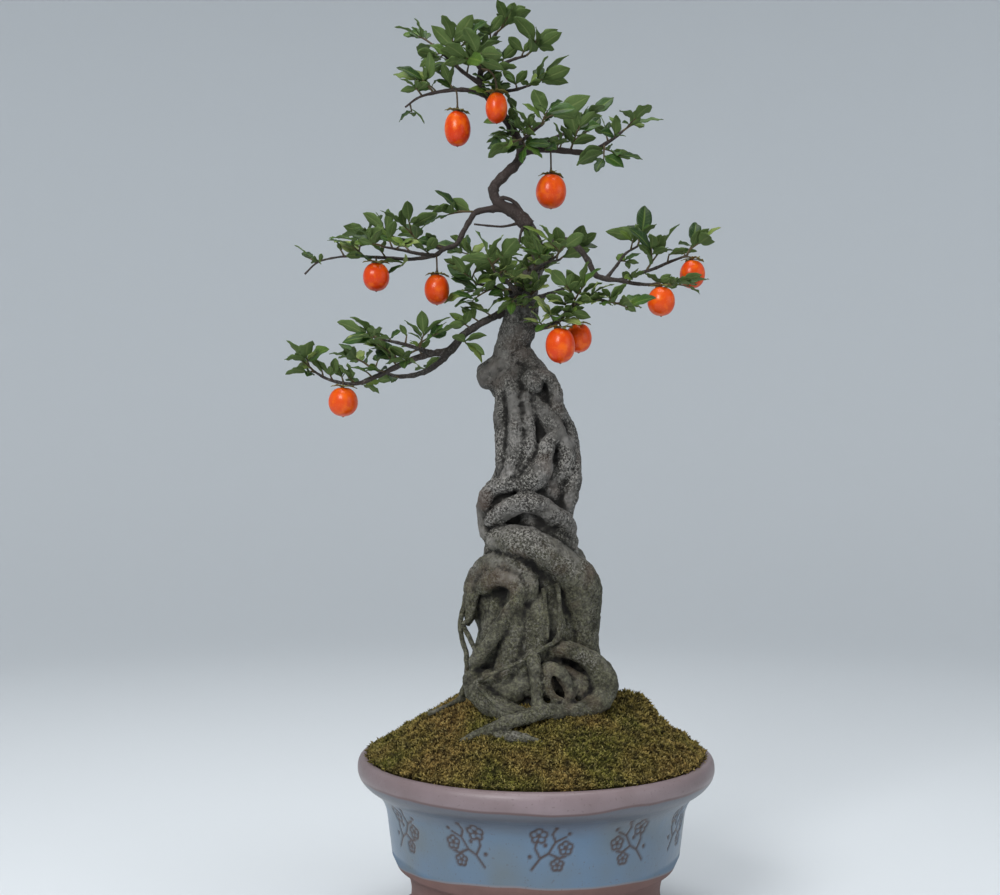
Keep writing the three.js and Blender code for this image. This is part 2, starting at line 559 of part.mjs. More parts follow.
// The triangles and the edges of a blade's surface, moved by offset along its face
function surfaceOf({ corners, face }, offset) {
  const moved = corners.map((corner) => corner.clone().addScaledVector(face, offset));
  const pick = (places) => places.map((place) => moved[place]);
  return {
    triangles: [[0, 1, 2], [1, 3, 2], [2, 3, 4], [3, 5, 4]].map(pick),
    edges: [[0, 1], [1, 3], [3, 5], [5, 4], [4, 2], [2, 0], [1, 2], [3, 4]].map(pick),
  };
}

// Whether the straight line from start to end goes through the triangle a, b, c
function pierces([start, end], [a, b, c]) {
  const line = end.clone().sub(start);
  const ab = b.clone().sub(a);
  const ac = c.clone().sub(a);
  const slant = line.clone().cross(ac);
  const scale = ab.dot(slant);
  if (Math.abs(scale) < SMALLEST) return false;
  const out = start.clone().sub(a);
  const u = out.dot(slant) / scale;
  if (u < 0 || u > 1) return false;
  const turn = out.cross(ab);
  const v = line.dot(turn) / scale;
  const t = ac.dot(turn) / scale;
  return v >= 0 && u + v <= 1 && t >= 0 && t <= 1;
}

const middleOf = ({ base, heading, length }) => base.clone().addScaledVector(heading, 0.5 * length);

function bladesCross(blade, other) {
  if (middleOf(blade).distanceTo(middleOf(other)) > 0.55 * (blade.length + other.length)) return false;
  const still = surfaceOf(other, 0);
  return [-LEAF_CLEARANCE, LEAF_CLEARANCE].some((offset) => {
    const moved = surfaceOf(blade, offset);
    return moved.edges.some((edge) => still.triangles.some((triangle) => pierces(edge, triangle)))
      || still.edges.some((edge) => moved.triangles.some((triangle) => pierces(edge, triangle)));
  });
}

// The shortest distance between the straight lines from a to b and from c to d
function distanceBetween([a, b], [c, d]) {
  const u = b.clone().sub(a);
  const v = d.clone().sub(c);
  const w = a.clone().sub(c);
  const [uu, uv, vv, uw, vw] = [u.dot(u), u.dot(v), v.dot(v), u.dot(w), v.dot(w)];
  const spread = uu * vv - uv * uv;
  const first = spread > SMALLEST ? THREE.MathUtils.clamp((uv * vw - vv * uw) / spread, 0, 1) : 0;
  const t = THREE.MathUtils.clamp((uv * first + vw) / vv, 0, 1);
  const s = THREE.MathUtils.clamp((uv * t - uw) / uu, 0, 1);
  return w.addScaledVector(u, s).addScaledVector(v, -t).length();
}

// Straight pieces of a limb, shoot or stalk, each with its radius
function rodsOf(places, radii, owner) {
  return places.slice(1).map((end, index) => ({
    line: [places[index], end], radius: Math.max(radii[index], radii[index + 1]), owner,
  }));
}

function bladeMeetsRod(blade, { line, radius }) {
  const near = 0.6 * blade.length + radius + 0.5 * line[0].distanceTo(line[1]);
  if (middleOf(blade).distanceTo(line[0].clone().lerp(line[1], 0.5)) > near) return false;
  const { triangles, edges } = surfaceOf(blade, 0);
  return triangles.some((triangle) => pierces(line, triangle))
    || edges.some((edge) => distanceBetween(edge, line) < radius + LEAF_CLEARANCE);
}

function bladeMeetsFruit(blade, [, , centre, radius, half]) {
  const middle = new THREE.Vector3(...centre);
  const clear = Math.max(radius, half) + 1.5;
  return [...blade.corners, middleOf(blade)].some((corner) => corner.distanceTo(middle) < clear);
}

// The stalk of a fruit: from the axis of its limb, over and down to the top of the fruit
function stalkCurve([limb, share, centre, , half]) {
  const from = curveThrough(LIMBS[limb]).getPoint(share);
  const to = new THREE.Vector3(centre[0], centre[1], centre[2] + half + GAP + CALYX_THICKNESS / 2);
  const over = new THREE.Vector3(to.x, to.y, Math.max(from.z, to.z + 2));
  return new THREE.QuadraticBezierCurve3(from, over, to);
}

// A thin stem along a curve, which ends in a point where its last radius is 0
function stemSolid(curve, radii, sides) {
  const places = curve.getPoints(radii.length - 1);
  return strand(places.map(({ x, y, z }, index) => [x, y, z, radii[index]]), sides, radii.length - 1);
}

// Every leaf of every spray: a leaf that would cross something is drawn again a little shorter, or left out
function leavesOf(sprays) {
  const limbRods = Object.values(LIMBS).flatMap((points) => (
    rodsOf(points.map(([x, y, z]) => new THREE.Vector3(x, y, z)), points.map((point) => point[3]))
  ));
  const stalkRods = FRUITS.flatMap((fruit) => (
    rodsOf(stalkCurve(fruit).getPoints(3), Array(4).fill(STALK_RADIUS))
  ));
  const shootRods = sprays.flat().flatMap((shoot) => (
    rodsOf(shoot.getPoints(3), Array(4).fill(SHOOT_RADIUS), shoot)
  ));
  const kept = [];
  return sprays.map((shoots, number) => budsOf(shoots).flatMap((bud, order) => {
    const draw = drawing(1009 + 7919 * number + 104729 * order);
    const rods = [...limbRods, ...stalkRods, ...shootRods.filter(({ owner }) => owner !== bud.shoot)];
    for (let attempt = 0; attempt < LEAF_TRIES; attempt += 1) {
      const blade = bladeAt(bud, draw, 1 - LEAF_SHRINK * attempt);
      const crosses = rods.some((rod) => bladeMeetsRod(blade, rod))
        || FRUITS.some((fruit) => bladeMeetsFruit(blade, fruit))
        || kept.some((other) => bladesCross(blade, other));
      if (!crosses) {
        kept.push(blade);
        return [blade];
      }
    }
    return [];
  }));
}

// One spray: its shoots and leaves grown together, cut clear of the wood that carries it
function spraySolid(shoots, blades, wood) {
  const stems = shoots.map((shoot, index) => (
    stemSolid(shoot, index ? [SHOOT_RADIUS, 0] : [SHOOT_RADIUS, SHOOT_RADIUS, 0], SHOOT_SIDES)
  ));
  return wholeOf(joined([...stems, ...blades.map(bladeSolid)]).subtract(wood));
}

// A fruit: an egg-shaped berry
function fruitSolid([, , centre, radius, half]) {
  const profile = Array.from({ length: FRUIT_RINGS + 1 }, (_, index) => {
    const angle = (index * Math.PI) / FRUIT_RINGS;
    return [radius * Math.sin(angle) ** 0.85, -half * Math.cos(angle)];
  });
  return turned(profile, FRUIT_SIDES).translate(centre);
}

// A calyx of four narrow lobes on top of its fruit, with the stalk that the fruit hangs by
function calyxSolid(fruit, wood) {
  const stalk = stalkCurve(fruit);
  const star = new THREE.Shape();
  for (let point = 0; point < 8; point += 1) {
    const angle = (point * Math.PI) / 4 + 0.3;
    const reach = point % 2 ? 2.4 : CALYX_REACH;
    star[point ? 'lineTo' : 'moveTo'](reach * Math.cos(angle), reach * Math.sin(angle));
  }
  const lobes = new THREE.ExtrudeGeometry(star, { depth: CALYX_THICKNESS, bevelEnabled: false });
  lobes.translate(stalk.v2.x, stalk.v2.y, stalk.v2.z - CALYX_THICKNESS / 2);
  const stem = stemSolid(stalk, Array(3).fill(STALK_RADIUS), SHOOT_SIDES);
  return wholeOf(solidOf(lobes).add(stem).subtract(wood));
}

const wood = woodGrown(0);
const woodClear = woodGrown(GAP);
const sprays = SPRAYS.map(shootsOf);
const leaves = leavesOf(sprays);

const bonsai = new THREE.Group();
bonsai.add(meshOf('pot', potSolid(), glaze));
bonsai.add(meshOf('soil', soilSolid(), earth));
bonsai.add(meshOf('moss', mossSolid(woodClear), mossGreen));
bonsai.add(meshOf('wood', wood, bark));
sprays.forEach((shoots, index) => {
  bonsai.add(meshOf(`spray_${index + 1}`, spraySolid(shoots, leaves[index], woodClear), leafGreen));
});
FRUITS.forEach((fruit, index) => {
  bonsai.add(meshOf(`fruit_${index + 1}`, fruitSolid(fruit), fruitSkin));
  bonsai.add(meshOf(`calyx_${index + 1}`, calyxSolid(fruit, woodClear), calyxGreen));
});

export default bonsai;
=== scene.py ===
# %% [markdown]
# # A small-leaved persimmon bonsai, dressed for its portrait
# The tree is a Chinese persimmon whose roots grew round each other into a braided trunk, some 60 cm tall. It
# stands on a mound of moss in a glazed pot 30 cm wide and carries ten ripe fruits no larger than a cherry.
# Every piece below has a short note first: what it is, how it could be made, and why one way was chosen.
# Lengths are written in millimetres and become metres where a mesh is made. The origin is the centre of the
# pot's underside, +Z is up, and the tree's front faces -Y.

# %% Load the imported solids
import math

import bpy
import numpy as np
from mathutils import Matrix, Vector, noise
from mathutils.bvhtree import BVHTree


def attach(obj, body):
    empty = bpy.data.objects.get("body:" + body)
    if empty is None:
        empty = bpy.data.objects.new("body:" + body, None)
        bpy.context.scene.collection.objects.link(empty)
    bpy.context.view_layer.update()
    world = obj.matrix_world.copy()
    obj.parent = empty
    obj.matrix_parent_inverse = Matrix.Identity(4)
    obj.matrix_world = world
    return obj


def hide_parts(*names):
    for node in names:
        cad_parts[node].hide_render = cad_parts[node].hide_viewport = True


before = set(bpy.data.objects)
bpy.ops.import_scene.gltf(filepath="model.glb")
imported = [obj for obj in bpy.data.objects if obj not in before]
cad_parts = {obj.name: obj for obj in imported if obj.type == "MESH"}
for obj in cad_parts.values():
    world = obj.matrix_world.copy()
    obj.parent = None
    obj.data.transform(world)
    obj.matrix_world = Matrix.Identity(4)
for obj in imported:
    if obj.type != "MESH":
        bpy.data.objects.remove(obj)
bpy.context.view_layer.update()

MM = 0.001


# %% [markdown]
# ## Camera
# The portrait is taken from the front at the height of the trunk, a little over a metre away. A raised lens
# keeps the trunk upright in the frame while it brings the crown in, which tilting the camera would not do.

# %% Set up the camera
CAMERA_PLACE = (-30.2, -1100, 377.5)
LENS, SENSOR_WIDTH = 46.55, 36
LENS_RISE = 0.0335  # of the picture's width

camera = bpy.data.objects.new("portrait_camera", bpy.data.cameras.new("portrait_camera"))
bpy.context.scene.collection.objects.link(camera)
camera.location = [x * MM for x in CAMERA_PLACE]
camera.rotation_euler = (math.pi / 2, 0, 0)
camera.data.lens = LENS
camera.data.sensor_width = SENSOR_WIDTH
camera.data.shift_y = LENS_RISE
bpy.context.scene.camera = camera
print("camera", CAMERA_PLACE, "mm")

# %% [markdown]
# ## Meshes from parts
# A leaf, a root or a pot is worked out as a part: its points, its faces, and marks such as how deep a point
# lies in a groove. Parts of one piece are put together first, and one call then makes the piece, so that
# every piece rides on the model and names its finish in the same way.


# %% Put parts together and make a piece
def part(places, faces, **marks):
    """Points in millimetres, faces as lists of point numbers, and marks: one value, or one for each point"""
    places = np.asarray(places, float)
    marks = {name: np.broadcast_to(np.asarray(value, float), len(places)) for name, value in marks.items()}
    return places, faces, marks


def together(parts):
    starts = np.cumsum([0] + [len(places) for places, _, _ in parts]).tolist()
    faces = []
    for start, (_, own, _) in zip(starts, parts):
        faces += [[corner + start for corner in face] for face in own]
    marks = {name: np.concatenate([own[name] for _, _, own in parts]) for name in parts[0][2]}
    return np.concatenate([places for places, _, _ in parts]), faces, marks


def mesh_of(name, made, finish):
    places, faces, marks = made
    mesh = bpy.data.meshes.new(name)
    mesh.from_pydata((places * MM).tolist(), [], faces)
    mesh.shade_smooth()
    for mark, values in marks.items():
        layer = mesh.attributes.new(mark, "FLOAT", "POINT")
        layer.data.foreach_set("value", np.ascontiguousarray(values, np.float32))
    mesh.materials.append(finish)
    thing = bpy.data.objects.new(name, mesh)
    bpy.context.scene.collection.objects.link(thing)
    return thing


def make_piece(name, made, finish, replaced=()):
    piece = mesh_of(name, made, finish)
    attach(piece, "root")
    if replaced:
        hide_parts(*replaced)
    print(f"{name}: {sum(len(face) - 2 for face in made[1])} triangles")
    return piece


# %% [markdown]
# ## Turned shapes
# Clay on a wheel, a ripe fruit and a round mound are all a profile turned about an upright axis. A profile
# that starts and ends on the axis gives a closed shape, and each of its points on the axis stays one point.


# %% Turn a profile
def turned(profile, sides, centre=(0, 0)):
    profile = np.asarray(profile, float)
    turns = 2 * math.pi * np.arange(sides) / sides
    places, rings = [], []
    for radius, height in profile:
        count = sides if radius > 0 else 1
        rings.append(np.arange(count) + len(places))
        for turn in turns[:count]:
            places.append((centre[0] + radius * math.cos(turn), centre[1] + radius * math.sin(turn), height))
    faces = []
    for low, high in zip(rings, rings[1:]):
        for i in range(sides):
            j = (i + 1) % sides
            corners = [low[i % len(low)], low[j % len(low)], high[j % len(high)], high[i % len(high)]]
            faces.append([int(c) for k, c in enumerate(corners) if c != corners[k - 1]])
    return part(places, faces)


def bow(start, middle, end, steps):
    """A round stretch of a profile, without its first point"""
    t = np.arange(1, steps + 1)[:, None] / steps
    start, middle, end = (np.asarray(p, float) for p in (start, middle, end))
    return ((1 - t) ** 2 * start + 2 * t * (1 - t) * middle + t * t * end).tolist()


# %% [markdown]
# ## Floor and light
# The tree stands on a pale sweep, a floor that curves up into a wall on every side, so that no horizon shows
# from anywhere. One large lamp to the left above the camera models the trunk, a weaker one opens the
# shadows on the right, and a broad lamp overhead rounds the moss and the fruits.

# %% Build the sweep and light it
FLOOR_RADIUS, SWEEP_HEIGHT, WALL_TOP = 1900, 1500, 3400
WALL_RADIUS = FLOOR_RADIUS + SWEEP_HEIGHT
SWEEP_SIDES, SWEEP_STEPS = 96, 16
SKY_COLOUR, SKY_STRENGTH = (0.95, 0.975, 1, 1), 0.31
LAMPS = {  # place and target in metres, size in metres, power in watts
    "window_left": ((-0.95, -1.75, 1.55), (0, 0, 0.42), 0.9, 36),
    "window_right": ((1.9, -1.0, 0.9), (0, 0, 0.4), 1.4, 7),
    "ceiling": ((0, -0.1, 2.3), (0, 0, 0.3), 1.4, 23.5),
}


def colour(red, green, blue):
    """A colour as a screen shows it, from 0 to 255, turned into the numbers that light adds up in"""
    linear = [c / 255 / 12.92 if c <= 10 else ((c / 255 + 0.055) / 1.055) ** 2.4 for c in (red, green, blue)]
    return (*linear, 1)


def plain_finish(name, base, roughness):
    finish = bpy.data.materials.new(name)
    finish.use_nodes = True
    shader = finish.node_tree.nodes["Principled BSDF"]
    shader.inputs["Base Color"].default_value = base
    shader.inputs["Roughness"].default_value = roughness
    return finish


sweep_profile = [(0, 0), (FLOOR_RADIUS, 0)]
sweep_profile += bow((FLOOR_RADIUS, 0), (WALL_RADIUS, 0), (WALL_RADIUS, SWEEP_HEIGHT), SWEEP_STEPS)
sweep_profile += [(WALL_RADIUS, WALL_TOP)]
paper = plain_finish("pale paper", colour(222, 227, 231), 0.9)
sweep = mesh_of("sweep", turned(sweep_profile, SWEEP_SIDES), paper)

world = bpy.data.worlds.new("studio")
bpy.context.scene.world = world
world.use_nodes = True
world.node_tree.nodes["Background"].inputs["Color"].default_value = SKY_COLOUR
world.node_tree.nodes["Background"].inputs["Strength"].default_value = SKY_STRENGTH
bpy.context.scene.view_settings.view_transform = "Standard"

for name, (place, target, size, power) in LAMPS.items():
    lamp = bpy.data.objects.new(name, bpy.data.lights.new(name, "AREA"))
    bpy.context.scene.collection.objects.link(lamp)
    lamp.data.size = size
    lamp.data.energy = power
    lamp.location = place
    lamp.rotation_euler = (Vector(target) - Vector(place)).to_track_quat("-Z", "Y").to_euler()
print("lamps", list(LAMPS))

# %% [markdown]
# ## Finishes are patterns in space
# No picture is wrapped round anything here. Every finish mixes noise that is fixed in the object's own
# space, measured in metres, with the marks that a mesh carries. These helpers keep such a recipe short: an
# input takes a number, a colour of three numbers from 0 to 255, or another node's output. Colours are laid
# over each other in turn, as coats of a stain are.


# %% Nodes for finishes
class Finish:
    """A finish under construction: its material, its shader and the place of each point in metres"""

    def __init__(self, name, **shader_values):
        self.material = plain_finish(name, (0.5, 0.5, 0.5, 1), 0.5)
        self.shader = self.material.node_tree.nodes["Principled BSDF"]
        for socket, value in shader_values.items():
            self.shader.inputs[socket.replace("_", " ")].default_value = value
        self.place = self.node("TexCoord").outputs["Object"]

    def node(self, kind, values=(), **settings):
        made = self.material.node_tree.nodes.new("ShaderNode" + kind)
        for setting, value in settings.items():
            setattr(made, setting, value)
        for socket, value in dict(values).items():
            self.give(made.inputs[socket], value)
        return made

    def give(self, socket, value):
        if isinstance(value, bpy.types.NodeSocket):
            self.material.node_tree.links.new(value, socket)
        else:
            socket.default_value = colour(*value) if socket.type == "RGBA" else value

    def height(self):
        return self.node("SeparateXYZ", {0: self.place}).outputs["Z"]

    def grain(self, size, detail=2.0, roughness=0.5):
        """Noise whose lumps are about size millimetres wide"""
        values = {"Vector": self.place, "Scale": 1 / (size * MM), "Detail": detail, "Roughness": roughness}
        return self.node("TexNoise", values).outputs["Fac"]

    def mark(self, name):
        return self.node("Attribute", attribute_name=name).outputs["Fac"]

    def sum(self, operation, *values):
        return self.node("Math", dict(enumerate(values)), operation=operation).outputs[0]

    def times(self, first, second):
        return self.sum("MULTIPLY", first, second)

    def plus(self, first, second):
        return self.sum("ADD", first, second)

    def between(self, value, low, high):
        """0 where the value is at low or past it, 1 where it is at high or past it"""
        values = {"Value": value, "From Min": low, "From Max": high}
        return self.node("MapRange", values).outputs["Result"]

    def patches(self, size, detail, low, high):
        """A grain with its middle values stretched, so that it falls into patches"""
        return self.between(self.grain(size, detail), low, high)

    def ramp(self, factor, *stops):
        """Colours or values along a factor, each stop a share and a colour or a value"""
        made = self.node("ValToRGB", {"Fac": factor})
        elements = made.color_ramp.elements
        for index, (share, shade) in enumerate(stops):
            element = elements[index] if index < 2 else elements.new(share)
            element.position = share
            element.color = colour(*shade) if isinstance(shade, tuple) else (shade, shade, shade, 1)
        return made.outputs["Color"]

    def blend(self, factor, first, second):
        made = self.node("Mix", data_type="RGBA")
        for socket, value in ((0, factor), (6, first), (7, second)):
            self.give(made.inputs[socket], value)
        return made.outputs[2]

    def coats(self, base, *coats):
        """Colours laid over a base in turn, each with the share that it covers"""
        for share, shade in coats:
            base = self.blend(share, base, shade)
        return base

    def finished(self, base, roughness, relief, depth):
        """Hands over the material with its colour, its roughness and a relief of depth millimetres"""
        bump = self.node("Bump", {"Height": relief, "Distance": depth * MM, "Strength": 1.0})
        given = {"Base Color": base, "Roughness": roughness, "Normal": bump.outputs["Normal"]}
        for socket, value in given.items():
            self.give(self.shader.inputs[socket], value)
        print(self.material.name, "mixed from", len(self.material.node_tree.nodes), "nodes")
        return self.material


# %% [markdown]
# ## The pot's profile
# The pot was thrown on a wheel: a spreading foot, a narrow waist, a belly that flares into a rolled lip. The
# profile below is the one that the solid has, with more points on the round stretches. Rows a millimetre
# apart up the belly leave room to carve it.

# %% Draw the pot's profile
FOOT_RADIUS, FOOT_HEIGHT = 124, 8
WAIST_RADIUS, WAIST_HEIGHT = 105, 34
BAND_BOTTOM, BAND_TOP, BAND_RADIUS = 60, 98, 121.5
RIM_RADIUS, RIM_INSIDE, POT_HEIGHT = 150.4, 140, 147.5
POT_WALL, POT_FLOOR = 9.5, 14
DRAIN_RADIUS, DRAIN_RING = 9, 52
POT_SIDES = 640
ROW = 1.1
FOOT_ROUNDING = 1.5


def rows(start, end):
    """A straight stretch in rows, without its first point"""
    count = max(1, round(math.dist(start, end) / ROW))
    return [tuple(np.array(start) + (np.array(end) - start) * k / count) for k in range(1, count + 1)]


belly_low = (BAND_RADIUS - 4, BAND_BOTTOM - 3)
belly_foot = (BAND_RADIUS, BAND_BOTTOM + 6)
belly_top = (BAND_RADIUS + 4, BAND_TOP)
flare = (RIM_RADIUS - 13, BAND_TOP + 23)
lip = (RIM_RADIUS, POT_HEIGHT - 9.5)
outline = [(0, 0), (FOOT_RADIUS - FOOT_ROUNDING, 0)]
outline += [(FOOT_RADIUS, FOOT_ROUNDING), (FOOT_RADIUS, FOOT_HEIGHT)]
outline += bow((FOOT_RADIUS, FOOT_HEIGHT), (WAIST_RADIUS, FOOT_HEIGHT + 4), (WAIST_RADIUS, WAIST_HEIGHT), 8)
outline += bow((WAIST_RADIUS, WAIST_HEIGHT), (WAIST_RADIUS + 1, WAIST_HEIGHT + 18), belly_low, 8)
outline += rows(belly_low, belly_foot) + rows(belly_foot, belly_top)
outline += bow(belly_top, (BAND_RADIUS + 6, BAND_TOP + 15), flare, 23)
outline += bow(flare, (RIM_RADIUS, BAND_TOP + 30), lip, 14)
outline += bow(lip, (RIM_RADIUS, POT_HEIGHT), (RIM_RADIUS - 6, POT_HEIGHT), 6)
outline += bow((RIM_RADIUS - 6, POT_HEIGHT), (RIM_INSIDE, POT_HEIGHT), (RIM_INSIDE - 1, POT_HEIGHT - 6), 6)
outline += [(RIM_INSIDE - 9, BAND_TOP + 24)]
outline += [(BAND_RADIUS - POT_WALL, height) for height in (BAND_TOP, BAND_BOTTOM)]
outline += [(WAIST_RADIUS - POT_WALL, height) for height in (WAIST_HEIGHT, POT_FLOOR)] + [(0, POT_FLOOR)]
print("pot profile", len(outline), "points")

# %% [markdown]
# ## Carved sprigs
# The glaze is carved through to the clay with a ring of small motifs. Here they are sprigs of plum blossom,
# an old stock pattern: a crooked twig, three flowers of five petals and a few buds. They could be a flat
# colour, but real cuts catch the light, so every point of the belly is measured against the nearest stroke
# and pushed in where it lies inside one. Every second sprig is turned over, left for right.

# %% Carve the belly
SPRIG_SPACING, FIRST_SPRIG = 30, 3.6  # degrees, the first counted to the right of the front
SPRIG_MIDDLE, SPRIG_SIZE = 99, 1.3
STROKE, CUT_DEPTH, CUT_EDGE = 1.5, 0.9, 0.5
BELLY_END = 130
FAR = 99.0  # farther than any stroke reaches
TWIGS = [
    [(-11, -12), (-6, -5), (-1, -2), (3, 5), (9, 8)], [(-6, -5), (-9, 1), (-8, 6)],
    [(-1, -2), (5, -5), (9, -4)], [(3, 5), (1, 10), (3, 14)],
]
BLOSSOMS = [(-7, 9, 1.0), (9, 1, 0.85), (4, -9, 0.75)]  # middle and size
BUDS = [(3, 14), (11, 10), (-12, -4), (-3, 3)]
PETALS, PETAL_RING, PETAL_RADIUS = 5, 2.9, 2.1
HEART_RADIUS, BUD_RADIUS = 0.3, 1.3


def stroke_distance(across, up, start, end):
    line = np.subtract(end, start)
    share = np.clip(((across - start[0]) * line[0] + (up - start[1]) * line[1]) / (line @ line), 0, 1)
    return np.hypot(across - start[0] - share * line[0], up - start[1] - share * line[1])


def sprig_distance(across, up):
    """How far each point of the belly is from the middle line of the nearest stroke of a sprig"""
    nearest = np.full(len(across), FAR)
    for twig in TWIGS:
        for start, end in zip(twig, twig[1:]):
            nearest = np.minimum(nearest, stroke_distance(across, up, start, end))
    for middle_across, middle_up, size in BLOSSOMS:
        beside, above = across - middle_across, up - middle_up
        petals = np.full(len(across), FAR)
        for petal in range(PETALS):
            turn = math.radians(18 + 360 / PETALS * petal)
            along, over = (PETAL_RING * size * f(turn) for f in (math.cos, math.sin))
            petals = np.minimum(petals, np.hypot(beside - along, above - over) - PETAL_RADIUS * size)
        heart = np.hypot(beside, above) - HEART_RADIUS
        nearest = np.minimum(nearest, np.minimum(abs(petals), heart))
    for middle_across, middle_up in BUDS:
        bud = np.hypot(across - middle_across, up - middle_up) - BUD_RADIUS
        nearest = np.minimum(nearest, bud + STROKE / 2)
    return nearest


def carve(made):
    places, faces, _ = made
    radius = np.hypot(places[:, 0], places[:, 1])
    angle = np.degrees(np.arctan2(places[:, 0], -places[:, 1])) - FIRST_SPRIG
    number = np.round(angle / SPRIG_SPACING)
    across = np.radians(angle - number * SPRIG_SPACING) * radius * (-1) ** number
    up = places[:, 2] - SPRIG_MIDDLE
    belly = (radius > BAND_RADIUS - 4) & (places[:, 2] > BAND_BOTTOM) & (places[:, 2] < BELLY_END)
    distance = np.full(len(places), FAR)
    distance[belly] = SPRIG_SIZE * sprig_distance(across[belly] / SPRIG_SIZE, up[belly] / SPRIG_SIZE)
    cut = np.clip((SPRIG_SIZE * STROKE / 2 + CUT_EDGE - distance) / (2 * CUT_EDGE), 0, 1)
    places[:, :2] *= (1 - CUT_DEPTH * cut / np.maximum(radius, 1))[:, None]
    return part(places, faces, cut=cut)


pot_made = carve(turned(outline, POT_SIDES))
print("points cut", int((pot_made[2]["cut"] > 0.5).sum()))

# %% [markdown]
# ## Glaze and clay
# The pot is one clay with three skins. The rim is a pinkish slip that ends at a thin brown line, painted
# darker towards its left and right sides as shade where the rim turns away from the light. The belly has a
# blue-grey glaze that pools bluer where it is thick, painted greyer and darker under the rim as the shade of
# the overhanging lip. Below its thin pale edge the red-brown clay is bare. All three are told apart by
# height, with a slow noise that makes the lines uneven as a dipped glaze is.

# %% Mix the pot's finish
GLAZE_EDGE, GLAZE_START = (68.2, 68.8), (69.2, 70.6)  # heights between which each border fades in
# the first pair: where the glaze turns greyer and darker, a painted shade under the overhanging lip
GREY_SHADE_UNDER_RIM, RIM_LINE, SLIP_START = (108, 126), (131.6, 132.4), (133.4, 134.4)
SIDE_DIP = 13  # how much lower the glaze reaches at the two sides

ware = Finish("glazed stoneware", Coat_Roughness=0.12, Specular_IOR_Level=0.5)
spot = ware.node("SeparateXYZ", {0: ware.place})
drift = ware.times(ware.sum("SUBTRACT", ware.grain(90), 0.5), 0.012)
level = ware.sum("DIVIDE", ware.plus(spot.outputs["Z"], drift), MM)
aside = ware.sum("ABSOLUTE", ware.sum("DIVIDE", spot.outputs["X"], BAND_RADIUS * MM))
dip = ware.plus(level, ware.times(ware.sum("POWER", aside, 4), SIDE_DIP))
clay = ware.blend(ware.grain(14, 4), (98, 74, 70), (122, 92, 86))
glaze = ware.blend(ware.patches(75, 3, 0.38, 0.62), (96, 107, 114), (92, 115, 138))
# painted shade under the lip: the glaze greyer and darker towards the rim
glaze = ware.blend(ware.between(level, *GREY_SHADE_UNDER_RIM), glaze, (90, 93, 101))
slip = ware.blend(ware.grain(30, 4), (106, 89, 89), (148, 133, 138))
# painted shade: the slip is darker towards the left and right sides, where the rim turns away from the light
slip = ware.blend(ware.times(aside, 0.35), slip, (94, 80, 78))
skin = ware.coats(
    clay,
    (ware.between(dip, *GLAZE_EDGE), (118, 116, 121)),
    (ware.between(dip, *GLAZE_START), glaze),
    (ware.between(level, *RIM_LINE), (96, 76, 76)),
    (ware.between(level, *SLIP_START), slip),
    (ware.times(ware.patches(2.2, 1, 0.68, 0.74), 0.35), (82, 66, 60)),
    (ware.mark("cut"), (66, 52, 50)),
)
share_up = ware.sum("DIVIDE", level, POT_HEIGHT)
gloss = ware.ramp(share_up, (0.46, 0.75), (0.48, 0.32), (0.92, 0.32), (0.94, 0.42))
tooth = ware.plus(ware.grain(1.6, 3), ware.times(ware.grain(9, 2), 1.5))
pot_skin = ware.finished(skin, gloss, tooth, 0.12)

# %% [markdown]
# ## Drain holes
# A bonsai pot drains through holes in its floor. They could be left out, as nobody sees them here, but the
# pot would then be no use as a pot. A drill, a plain cylinder, is taken away from the pot three times.

# %% Make the pot and drill its drain holes
DRAIN_HOLES, DRILL_SIDES = 3, 48
low, high = -POT_FLOOR, 2 * POT_FLOOR
drill_profile = [(0, low), (DRAIN_RADIUS, low), (DRAIN_RADIUS, high), (0, high)]

pot = make_piece("pot_turned", pot_made, pot_skin, ["pot"])
for hole in range(DRAIN_HOLES):
    turn = hole * 2 * math.pi / DRAIN_HOLES
    middle = (DRAIN_RING * math.cos(turn), DRAIN_RING * math.sin(turn))
    drill = mesh_of("drill", turned(drill_profile, DRILL_SIDES, middle), pot_skin)
    bore = pot.modifiers.new("drain hole", "BOOLEAN")
    bore.operation = "DIFFERENCE"
    bore.solver = "MANIFOLD"
    bore.object = drill
    with bpy.context.temp_override(object=pot, active_object=pot):
        bpy.ops.object.modifier_apply(modifier=bore.name)
    bpy.data.objects.remove(drill)
print("pot", len(pot.data.polygons), "faces")

# %% [markdown]
# ## Soil
# The soil keeps its plain solid, because the moss hides it. It still gets its own finish of dark crumbs, for
# anyone who lifts the moss.

# %% Give the soil its finish
soil = Finish("dark potting soil", Specular_IOR_Level=0.2)
crumb = soil.grain(3, 4, 0.7)
soil_shade = soil.ramp(crumb, (0.35, (34, 24, 17)), (0.65, (84, 64, 46)))
soil_skin = soil.finished(soil_shade, 0.95, crumb, 1.0)
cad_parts["soil"].data.materials.clear()
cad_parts["soil"].data.materials.append(soil_skin)

# %% [markdown]
# ## Curves that roots and limbs follow
# Each root or limb is written as a few points with a radius at each. A smooth curve runs through them, and
# the radius runs through its own values in the same way, so a strand swells and thins gently.


# %% Walk along a curve
def along_points(points, share):
    """The place, and the radius if there is one, at a share of the way through the points"""
    points = np.asarray(points, float)
    last = len(points) - 1
    step = share * last
    index = min(int(math.floor(step)), last - 1)
    t = step - index
    p1, p2 = points[index], points[index + 1]
    p0 = points[index - 1] if index > 0 else 2 * p1 - p2
    p3 = points[index + 2] if index + 2 <= last else 2 * p2 - p1
    start, end = 0.5 * (p2 - p0), 0.5 * (p3 - p1)
    square, cube = 3 * (p2 - p1) - 2 * start - end, 2 * (p1 - p2) + start + end
    return p1 + t * start + t * t * square + t ** 3 * cube


def walk(points, steps):
    return np.array([along_points(points, k / steps) for k in range(steps + 1)])


